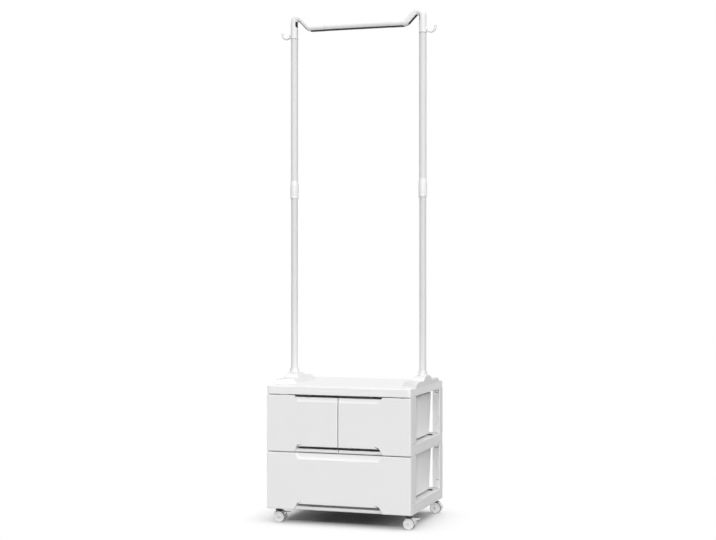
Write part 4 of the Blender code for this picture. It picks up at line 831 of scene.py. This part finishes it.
def bracket(side):
    """Bracket as a height field: the highest of three lobes along y, under a slope that rises from its
    inner and leaning edges, with a quarter-round fall at the outer face. Its foot is flat, with a lip
    down over the board's round edge."""
    y = (BRACKET_HALF - 0.0002) * np.sin(np.linspace(-np.pi / 2.0, np.pi / 2.0, 121))[:, None]
    inner = CHEST_SIDE - BRACKET_WIDTH * np.clip(
        (BRACKET_HALF - np.abs(y)) / (BRACKET_HALF - BRACKET_INNER_HALF), 0.004, 1.0)
    plain = inner + (CHEST_SIDE - 0.004 - inner) * np.linspace(0.0, 1.0, 30)
    x = np.concatenate([plain, CHEST_SIDE - EDGE_STEPS[-2::-1] + 0.0 * y], 1)
    x = np.maximum.accumulate(np.maximum(x, inner + 1e-5 * np.arange(x.shape[1])), 1)
    y = y + 0.0 * x
    lobes = np.maximum(
        lobe(np.abs(y), BRACKET_HALF - END_LOBE_HALF, END_LOBE_HALF, END_LOBE_HEIGHT),
        lobe(y, 0.0, MIDDLE_LOBE_HALF, MIDDLE_LOBE_HEIGHT))
    lean = BRACKET_WIDTH / (BRACKET_HALF - BRACKET_INNER_HALF)
    ends = (BRACKET_HALF - np.abs(y) - (CHEST_SIDE - x) / lean) / np.hypot(1.0, 1.0 / lean)
    rise = np.minimum((x - (CHEST_SIDE - BRACKET_WIDTH)) * INNER_SLOPE, ends * END_SLOPE)
    rise = np.maximum(rise, 0.0) + LEAST_HEIGHT
    soft = 0.0035
    share = np.clip(0.5 + 0.5 * (rise - lobes) / soft, 0.0, 1.0)
    height = rise * (1.0 - share) + lobes * share - soft * share * (1.0 - share)
    height = height - quarter_fall(CHEST_SIDE - x, np.minimum(BRACKET_ROUND, height * 0.8))
    height = np.maximum(height, LEAST_HEIGHT)
    top = np.stack([side * x, POLE_Y + y, BRACKET_FOOT + height], -1)
    lip = np.where(CHEST_SIDE - x < BRACKET_ROUND + 0.0001, BRACKET_FOOT - (BOARD_TOP - BOARD_ROUND), 0.0)
    foot = np.stack([side * x, POLE_Y + y, BRACKET_FOOT - lip], -1)
    return plate_skin(top, foot, (0.5,))


def collar(side):
    """Collar turned about the pole: a foot that flares into the bracket, a waist line and a lipped head."""
    drop = np.array([
        0.0000, 0.0000, 0.0006, 0.0016, 0.0080, 0.0088, 0.0094, 0.0100, 0.0108, 0.0130, 0.0180, 0.0230,
        0.0300, 0.0300, 0.0020])
    radius = np.array([
        0.0122, 0.0144, 0.0149, 0.0151, 0.0153, 0.0152, 0.0146, 0.0146, 0.0156, 0.0162, 0.0172, 0.0182,
        0.0182, 0.0119, 0.0119])
    return turned(radius, COLLAR_TOP - drop, (side * POLE_X, POLE_Y, 0.0))


for label, side in SIDES.items():
    node = "pole_bracket_" + label
    build("bracket_" + label, [bracket(side), collar(side)], bracket_plastic, "chest", "fitting_plastic",
          node)
    for end in CASTOR_Y:
        carried(f"bracket_screw_{label}_{end}", zinc_steel)


# Poles and hanging rail: steel tubes, powder-coated white. On each side a lower tube stands
# in its collar and slides inside an upper tube. The rail is a third length of the upper size,
# with a slightly raised strip along its underside that is painted black as painted shade.
TUBE_RADIUS, TUBE_BORE = 0.0125, 0.0119
LOWER_RADIUS, LOWER_BORE = 0.0116, 0.0106
STRIP_HALF, STRIP_THICK = np.radians(47.0), 0.0012


def powder_group():
    """Powder coat: soft orange peel in the height, slight flecks in the colour, gloss that varies, a thin
    coat at the edges, and black painted shade where the shade mask is."""
    tree, given, out = new_group(
        "powder_coat",
        [("Colour", "Color", (0.8, 0.8, 0.8, 1.0)), ("Fleck", "Color", (0.7, 0.7, 0.7, 1.0)),
         ("Gloss", "Float", 0.3), ("Peel", "Float", 420.0)])
    place = tree.nodes.new("ShaderNodeTexCoord").outputs["Object"]
    peel = noise_node(tree, place, given["Peel"], 1.0)
    fleck = noise_node(tree, place, 700.0, 2.0)
    cloud = noise_node(tree, place, 23.0, 2.0)
    thin = math_node(tree, "MULTIPLY", mask_node(tree, "edge"), 0.5)
    spots = math_node(tree, "MULTIPLY", math_node(tree, "SUBTRACT", fleck, 0.55), 2.5, True)
    factor = math_node(tree, "ADD", math_node(tree, "MULTIPLY", cloud, 0.35), spots)
    factor = math_node(tree, "MAXIMUM", math_node(tree, "MULTIPLY", factor, 0.6, True), thin)
    paint = blend_node(tree, factor, given["Colour"], given["Fleck"])
    shade_black = (0.012, 0.012, 0.012, 1.0)
    # Painted shade: black where the piece's shade mask is high.
    tree.links.new(blend_node(tree, mask_node(tree, "painted_shade"), paint, shade_black), out["Colour"])
    gloss = math_node(tree, "ADD", given["Gloss"], math_node(tree, "MULTIPLY", cloud, 0.14))
    tree.links.new(gloss, out["Roughness"])
    tree.links.new(peel, out["Height"])
    return tree


powder = powder_group()


def paint_coat(name, level, fleck, gloss, peel):
    """Powder coat from the levels of its colour and its flecks."""
    return surface(name, powder, {
        "Colour": white(level), "Fleck": white(fleck), "Gloss": gloss, "Peel": peel}, 0.2)


pole_paint = paint_coat("pole_paint", 0.775, 0.767, gloss=0.50, peel=430.0)
inner_pole_paint = paint_coat("inner_pole_paint", 0.720, 0.712, gloss=0.48, peel=450.0)
rail_paint = paint_coat("rail_paint", 0.845, 0.837, gloss=0.50, peel=430.0)


def tube(radius, bore, start, end, centre, axis="z", sides=72):
    """Tube turned from its wall's outline, with the cut ends broken by a small round."""
    cut, rim = 0.00015, 0.002
    outline = [
        radius - cut, radius, radius, radius, radius, radius - cut, bore + cut, bore, bore, bore + cut]
    along = [
        start, start + cut, start + rim, end - rim, end - cut, end, end, end - cut, start + cut, start]
    return turned(outline, along, centre, axis, sides)


for label, side in SIDES.items():
    for part, radius, bore, body, paint in (
            ("lower_tube_", LOWER_RADIUS, LOWER_BORE, "chest", inner_pole_paint),
            ("upper_tube_", TUBE_RADIUS, TUBE_BORE, "hanging_frame", pole_paint)):
        low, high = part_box(part + label)
        skin = tube(radius, bore, low.z, high.z, (side * POLE_X, POLE_Y, 0.0))
        build("pole_" + part + label, [skin], paint, body, "pole_paint", part + label)
rail_low, rail_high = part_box("hanging_rail")
RAIL_Z = (rail_low.z + rail_high.z) / 2.0
skin = tube(TUBE_RADIUS, TUBE_BORE, rail_low.x, rail_high.x, (0.0, POLE_Y, RAIL_Z), "x", 180)
off = skin[0] - (0.0, POLE_Y, RAIL_Z)
reach = np.hypot(off[:, 1], off[:, 2])
# Painted shade: the strip along the rail's underside is painted black.
strip = (reach > TUBE_BORE + 0.0003) & (-off[:, 2] > reach * np.cos(STRIP_HALF))
proud = strip * STRIP_THICK / reach
skin = (skin[0] + off * (0.0, 1.0, 1.0) * proud[:, None], skin[1])
piece = build("rail", [skin], rail_paint, "hanging_frame", "pole_paint", "hanging_rail")
paint_shade(piece, strip)


# Lock sleeves and lock nuts: white mouldings where the tubes telescope. The sleeve tapers up
# on to the upper tube; the nut below it turns on the lower tube and clamps it.
SLEEVE_BORE, NUT_BORE = 0.0127, 0.0118
SLEEVE_RADIUS, SLEEVE_TAPER, SLEEVE_EASE = 0.0145, 0.019, 0.0016
FLUTES, FLUTE_DEPTH = 18.0, 0.00022


def lock_sleeve(centre, foot, top):
    """Sleeve turned from its wall's outline: a beaded foot with one groove, a straight barrel and a taper
    that eases in to the tube."""
    share = np.linspace(0.0, 1.0, 14)
    radius = np.concatenate([
        [NUT_BORE, 0.0137, 0.0141, 0.0143, 0.0143, 0.0141, 0.0137, 0.0137, 0.0142, SLEEVE_RADIUS],
        SLEEVE_RADIUS - SLEEVE_EASE * ease(share), [0.0128, SLEEVE_BORE, SLEEVE_BORE, NUT_BORE]])
    along = np.concatenate([
        foot + np.array([0.0, 0.0, 0.0003, 0.0008, 0.0050, 0.0055, 0.0058, 0.0066, 0.0069, 0.0076]),
        top - 0.0004 - SLEEVE_TAPER * (1.0 - share), [top, top, foot + 0.0045, foot + 0.0045]])
    return turned(radius, along, centre, sides=72)


def lock_nut(centre, foot, top):
    """Nut turned from its wall's outline, with shallow flutes: round its grip the radius dips with the
    cosine of the angle times the number of flutes."""
    sides = 144
    radius = np.array([
        NUT_BORE, 0.0122, 0.0130, 0.0139, 0.0142, 0.0144, 0.0144, 0.0144, 0.0142, 0.0137, NUT_BORE])
    along = np.concatenate([
        foot + np.array([0.0, 0.0, 0.0002, 0.0010, 0.0022, 0.0034, 0.0060]),
        top - np.array([0.0020, 0.0006, 0.0, 0.0])])
    grip = np.array([0.0, 0.0, 0.0, 0.0, 0.4, 1.0, 1.0, 1.0, 0.0, 0.0, 0.0])
    flute = FLUTE_DEPTH * (0.5 - 0.5 * np.cos(FLUTES * all_round(sides)))
    return turned(radius[:, None] - grip[:, None] * flute, along, centre, sides=sides)


for label, side in SIDES.items():
    centre = (side * POLE_X, POLE_Y, 0.0)
    low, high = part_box("lock_sleeve_" + label)
    build("sleeve_" + label, [lock_sleeve(centre, low.z, high.z)], fitting_plastic, "hanging_frame",
          "fitting_plastic", "lock_sleeve_" + label)
    low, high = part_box("lock_nut_" + label)
    build("nut_" + label, [lock_nut(centre, low.z, high.z)], fitting_plastic, "lock_nut_" + label,
          "fitting_plastic", "lock_nut_" + label)


# Goosenecks: white mouldings that plug into the poles and the rail and carry it over a low
# crest, with a coat hook on the outer side. Two shallow channels run along the inner side of the
# bend, and a strip like the rail's goes on under the foot of the slope; channels and strip are
# painted black as painted shade, and so is a thin line at the neck's foot.
NECK_RADIUS = 0.013
NECK_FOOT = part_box("upper_tube_left")[1].z + 0.0003
CREST_RISE, CREST_BEND, CREST_TURN = 0.0854, 0.0155, np.radians(136.0)
FOOT_BEND = 0.020
RAIL_END = rail_high.x + 0.0003
HOOK_BEND, HOOK_RADIUS, HOOK_RISE, HOOK_TIP = 0.0145, 0.00425, 0.0171, 0.012
HOOK_GAP, HOOK_HEAD, HOOK_FLARE, HOOK_ROOT = 0.001, 0.0047, 0.0030, 0.013
CHANNEL_HALF, CHANNEL_DEPTH, CHANNEL_TIP = np.radians(57.0), 0.0010, 0.004
LOW_CHANNEL, HIGH_CHANNEL, HIGH_SHARE = (0.0389, 0.0640), (0.0915, 0.0575), 0.85
LINE_X, LINE_DEPTH, LINE_HALF, STRIP_X = 0.152, 0.0004, 0.0006, 0.168
FOOT_SHADE_LENGTH, FOOT_SHADE_LEVEL = 0.0008, 0.7


def neck_axis():
    """Axis of a gooseneck as fine points of x and z: straight up, round the crest, down a straight slope
    and round on to the rail."""
    top = NECK_FOOT + CREST_RISE - NECK_RADIUS - CREST_BEND
    turn = np.linspace(0.0, CREST_TURN, 200)
    crest = np.stack(
        [POLE_X - CREST_BEND + CREST_BEND * np.cos(turn), top + CREST_BEND * np.sin(turn)], -1)
    fall = CREST_TURN - np.pi / 2.0
    drop = crest[-1, 1] - RAIL_Z - FOOT_BEND * (1.0 - np.cos(fall))
    start = crest[-1, 0] - drop / np.tan(fall)
    turn = np.linspace(fall - np.pi / 2.0, -np.pi / 2.0, 120)
    centre = np.array([start - FOOT_BEND * np.sin(fall), RAIL_Z + FOOT_BEND])
    bend = centre + FOOT_BEND * np.stack([np.cos(turn), np.sin(turn)], -1)
    return np.concatenate([[(POLE_X, NECK_FOOT)], crest, bend, [(RAIL_END, RAIL_Z)]])


def hook_axis():
    """Axis of a coat hook as fine points of x and z: out of the collar, round most of a half circle and
    straight up to the tip."""
    centre = np.array([POLE_X + NECK_RADIUS + HOOK_GAP + HOOK_BEND, NECK_FOOT + HOOK_RISE])
    turn = np.radians(np.linspace(200.0, 350.0, 120))
    bend = centre + HOOK_BEND * np.stack([np.cos(turn), np.sin(turn)], -1)
    heading = np.array([-np.sin(turn[-1]), np.cos(turn[-1])])
    root = np.array([POLE_X + NECK_RADIUS * 0.6, bend[0, 1] + 0.002])
    return np.concatenate([[root], bend, [bend[-1] + heading * HOOK_TIP]])


def carried_rings(axis, at, angle, radius, side):
    """Rings carried along an axis in the plane of the frame, at given lengths along it: the axis is read
    off by length, each ring stands square to it, and its points lie at their angles and radii. Angle zero
    is the inner side of the crest."""
    step = np.linalg.norm(np.diff(axis, axis=0), axis=1)
    length = np.concatenate([[0.0], np.cumsum(step)])
    place = np.stack([np.interp(at, length, axis[:, i]) for i in (0, 1)], -1)
    middle = (length[:-1] + length[1:]) / 2.0
    heading = np.diff(axis, axis=0) / step[:, None]
    heading = np.stack([np.interp(at, middle, heading[:, i]) for i in (0, 1)], -1)
    heading /= np.linalg.norm(heading, axis=1, keepdims=True)
    across = radius * np.cos(angle)
    x = place[:, :1] - heading[:, 1:] * across
    z = place[:, 1:] + heading[:, :1] * across
    return ring_skin(np.stack([side * x, POLE_Y + radius * np.sin(angle), z], -1))


def axis_length(axis):
    """Length of an axis: the sum of its steps."""
    return np.linalg.norm(np.diff(axis, axis=0), axis=1).sum()


def neck(side):
    """Neck, and the mask of its painted shade. It has a broken edge at each end, a ring line before the
    rail, two channels, below and beyond the crest, and the strip. Within a channel's half angle the radius
    drops by its depth, and the half angle narrows at both ends as a half circle does. At the strip the
    radius grows by its thickness. Channels, strip and a thin line at the foot are painted black as painted
    shade."""
    axis = neck_axis()
    whole = axis_length(axis)
    line, strip_start = whole - (LINE_X - RAIL_END), whole - (STRIP_X - RAIL_END)
    ring = line + np.array([-0.0014, -0.0008, -0.0005, 0.0005, 0.0008, 0.0014])
    ends = np.array([0.0, 0.0003, 0.0007, 0.0020])
    high = HIGH_CHANNEL[0], whole - HIGH_CHANNEL[1]
    spans = [LOW_CHANNEL, high, (strip_start, whole + 0.010)]
    halves = np.array([CHANNEL_HALF, HIGH_SHARE * CHANNEL_HALF, STRIP_HALF])
    close = np.array([-0.0004, 0.0, 0.0003, 0.0008, 0.0016, 0.0028, 0.0042])
    tips = np.concatenate([np.concatenate([first + close, last - close]) for first, last in spans])
    at = np.concatenate([ends, np.linspace(0.004, whole - 0.004, 150), ring, tips, whole - ends])
    at = np.unique(np.round(at[at <= whole], 6))
    radius = NECK_RADIUS - LINE_DEPTH * np.exp(-((at - line) / LINE_HALF) ** 4)
    radius -= 0.6 * quarter_fall(np.minimum(at, whole - at), 0.0007)

    inside = np.array([np.minimum(at - first, last - at) / CHANNEL_TIP for first, last in spans])
    inside = np.clip(inside, 0.0, 1.0)
    half = halves[:, None] * np.sqrt(1.0 - (1.0 - inside) ** 2)
    half = np.maximum(half.max(0), 0.12)[:, None]
    inner = np.concatenate([
        [-1.0, -0.99, -0.975, -0.96], np.linspace(-0.93, 0.93, 21), [0.96, 0.975, 0.99, 1.0]])
    outer = np.arange(1, 60) / 60.0
    angle = np.concatenate([inner * half, half + outer * (2.0 * np.pi - 2.0 * half)], 1)
    depth = np.concatenate([ease((1.0 - np.abs(inner)) / 0.04), np.zeros(len(outer))])
    depth = depth * ease(inside.max(0) / 0.05)[:, None]
    deep = np.where(at > strip_start - 0.001, -STRIP_THICK, CHANNEL_DEPTH)[:, None]
    # Painted shade: channels, strip and a thin line at the neck's foot are painted black.
    foot_shade = FOOT_SHADE_LEVEL * (at < FOOT_SHADE_LENGTH)[:, None]
    painted_shade = np.maximum(np.clip(depth * 3.0 - 0.6, 0.0, 1.0), foot_shade)
    return carried_rings(axis, at, angle, radius[:, None] - deep * depth, side), painted_shade.ravel()


def coat_hook(side):
    """Hook of round section, which flares at its root and thickens to a round head at the tip."""
    axis = hook_axis()
    whole = axis_length(axis)
    shaft = whole - HOOK_HEAD
    turn = np.radians(np.linspace(0.0, 88.0, 12))[1:]
    at = np.concatenate([np.linspace(0.0, shaft, 60), shaft + HOOK_HEAD * np.sin(turn)])
    radius = HOOK_RADIUS + (HOOK_HEAD - HOOK_RADIUS) * ease((at - whole + 0.014) / 0.009)
    radius = radius + HOOK_FLARE * (1.0 - ease(at / HOOK_ROOT))
    radius[-len(turn):] = HOOK_HEAD * np.cos(turn)
    return carried_rings(axis, at, all_round(40), radius[:, None], side)


for label, side in SIDES.items():
    (skin, painted_shade), hook = neck(side), coat_hook(side)
    piece = build("gooseneck_" + label, [skin, hook], fitting_plastic, "hanging_frame", "fitting_plastic",
                  "elbow_" + label, sharp=50.0)
    paint_shade(piece, np.concatenate([painted_shade, np.zeros(len(hook[0]))]))


# Studio: a white surround that is brighter above, four soft lamps and a pale floor, seen by a
# camera at the height of the rack's middle. The floor returns little light, so undersides stay
# dark, and its paint is shaded under the chest.
SURROUND_LOW, SURROUND_RISE = 0.24, 0.47
FLOOR_REACH, FLOOR_DROP, FLOOR_LEVEL = 30.0, 0.0003, 0.18
SHADE_BACK, SHADE_SIDE, SHADE_HALF, SHADE_FADE = 0.022, 0.216, 0.124, 0.16
CORE_X, CORE_HALF, CORE_FADE, CORE_LEVEL, CORE_RISE = -0.012, 0.070, 0.09, 0.50, 2.5
CAMERA_PLACE, CAMERA_AIM = (1.5381, -4.6533, 0.8644), (0.0037, 0.0012, 0.8480)


def background_share(tree):
    """One for rays from the camera and for mirrored or refracted rays, zero for the light on the object."""
    path = tree.nodes.new("ShaderNodeLightPath")
    share = math_node(tree, "MAXIMUM", path.outputs["Is Camera Ray"], path.outputs["Is Glossy Ray"])
    return math_node(tree, "MAXIMUM", share, path.outputs["Is Transmission Ray"])


world = bpy.data.worlds.new("surround")
bpy.context.scene.world = world
world.use_nodes = True
tree = world.node_tree
sky = tree.nodes["Background"]
sky.inputs["Color"].default_value = (1.0, 1.0, 1.0, 1.0)
direction = tree.nodes.new("ShaderNodeSeparateXYZ")
tree.links.new(tree.nodes.new("ShaderNodeTexCoord").outputs["Generated"], direction.inputs["Vector"])
upward = math_node(tree, "MAXIMUM", direction.outputs["Z"], 0.0)
rise = math_node(tree, "MULTIPLY", upward, SURROUND_RISE)
lit = math_node(tree, "ADD", rise, SURROUND_LOW)
rest = math_node(tree, "MULTIPLY", background_share(tree), math_node(tree, "SUBTRACT", 1.0, lit))
tree.links.new(math_node(tree, "ADD", lit, rest), sky.inputs["Strength"])

floor_paint = bpy.data.materials.new("floor_paint")
floor_paint.use_nodes = True
tree = floor_paint.node_tree
paint = tree.nodes["Principled BSDF"]
paint.inputs["Roughness"].default_value = 1.0
paint.inputs["Specular IOR Level"].default_value = 0.0
seen = background_share(tree)
place = tree.nodes.new("ShaderNodeTexCoord").outputs["Object"]
across = tree.nodes.new("ShaderNodeSeparateXYZ")
tree.links.new(place, across.inputs["Vector"])
aside = math_node(tree, "ABSOLUTE", math_node(tree, "SUBTRACT", across.outputs["X"], CORE_X), 0.0)
aside = math_node(tree, "DIVIDE", math_node(tree, "SUBTRACT", aside, CORE_HALF), CORE_FADE, True)
for operation, other in (
        ("SUBTRACT", (0.0, SHADE_BACK, 0.0)), ("ABSOLUTE", None),
        ("SUBTRACT", (SHADE_SIDE, SHADE_HALF, 0.0)), ("MAXIMUM", (0.0, 0.0, 0.0)), ("LENGTH", None)):
    step = tree.nodes.new("ShaderNodeVectorMath")
    step.operation = operation
    tree.links.new(place, step.inputs[0])
    if other is not None:
        step.inputs[1].default_value = other
    place = step.outputs[0]
far = math_node(tree, "DIVIDE", step.outputs["Value"], SHADE_FADE, True)
open_share = math_node(tree, "MAXIMUM", aside, math_node(tree, "MULTIPLY", far, CORE_RISE, True))
core = (CORE_LEVEL, CORE_LEVEL, CORE_LEVEL, 1.0)
shown = blend_node(tree, open_share, core, (1.0, 1.0, 1.0, 1.0))
lighting = (FLOOR_LEVEL, FLOOR_LEVEL, FLOOR_LEVEL, 1.0)
tree.links.new(blend_node(tree, seen, lighting, shown), paint.inputs["Base Color"])
glow = tree.nodes.new("ShaderNodeEmission")
sweep = tree.nodes.new("ShaderNodeMixShader")
tree.links.new(math_node(tree, "MULTIPLY", far, seen), sweep.inputs["Fac"])
tree.links.new(paint.outputs["BSDF"], sweep.inputs[1])
tree.links.new(glow.outputs["Emission"], sweep.inputs[2])
tree.links.new(sweep.outputs["Shader"], tree.nodes["Material Output"].inputs["Surface"])
floor_mesh = bpy.data.meshes.new("floor")
floor_corners = [
    (x * FLOOR_REACH, y * FLOOR_REACH, -FLOOR_DROP) for x, y in ((-1, -1), (1, -1), (1, 1), (-1, 1))]
floor_mesh.from_pydata(floor_corners, [], [(0, 1, 2, 3)])
floor_mesh.materials.append(floor_paint)
floor = bpy.data.objects.new("floor", floor_mesh)
bpy.context.scene.collection.objects.link(floor)


def lamp(name, strength, azimuth, elevation, spread):
    """Soft lamp far away, at an azimuth from the front towards the right and an elevation, in degrees."""
    light = bpy.data.lights.new(name, "SUN")
    light.energy = strength
    light.angle = np.radians(spread)
    holder = bpy.data.objects.new(name, light)
    holder.rotation_euler = (np.radians(90.0 - elevation), 0.0, np.radians(azimuth))
    bpy.context.scene.collection.objects.link(holder)


lamp("front", 1.34, azimuth=15.0, elevation=1.6, spread=3.0)
lamp("upper", 0.60, azimuth=25.0, elevation=35.0, spread=40.0)
lamp("side", 0.46, azimuth=80.0, elevation=35.0, spread=30.0)
lamp("overhead", 0.82, azimuth=0.0, elevation=85.0, spread=70.0)

camera = bpy.data.cameras.new("camera")
camera.lens = 71.994
camera.sensor_width = 36.0
viewer = bpy.data.objects.new("camera", camera)
viewer.location = CAMERA_PLACE
aim = np.array(CAMERA_AIM) - np.array(viewer.location)
viewer.rotation_euler = (np.arctan2(np.hypot(aim[0], aim[1]), -aim[2]), 0.0, np.arctan2(-aim[0], aim[1]))
bpy.context.scene.collection.objects.link(viewer)
bpy.context.scene.camera = viewer
bpy.context.scene.view_settings.view_transform = "Standard"
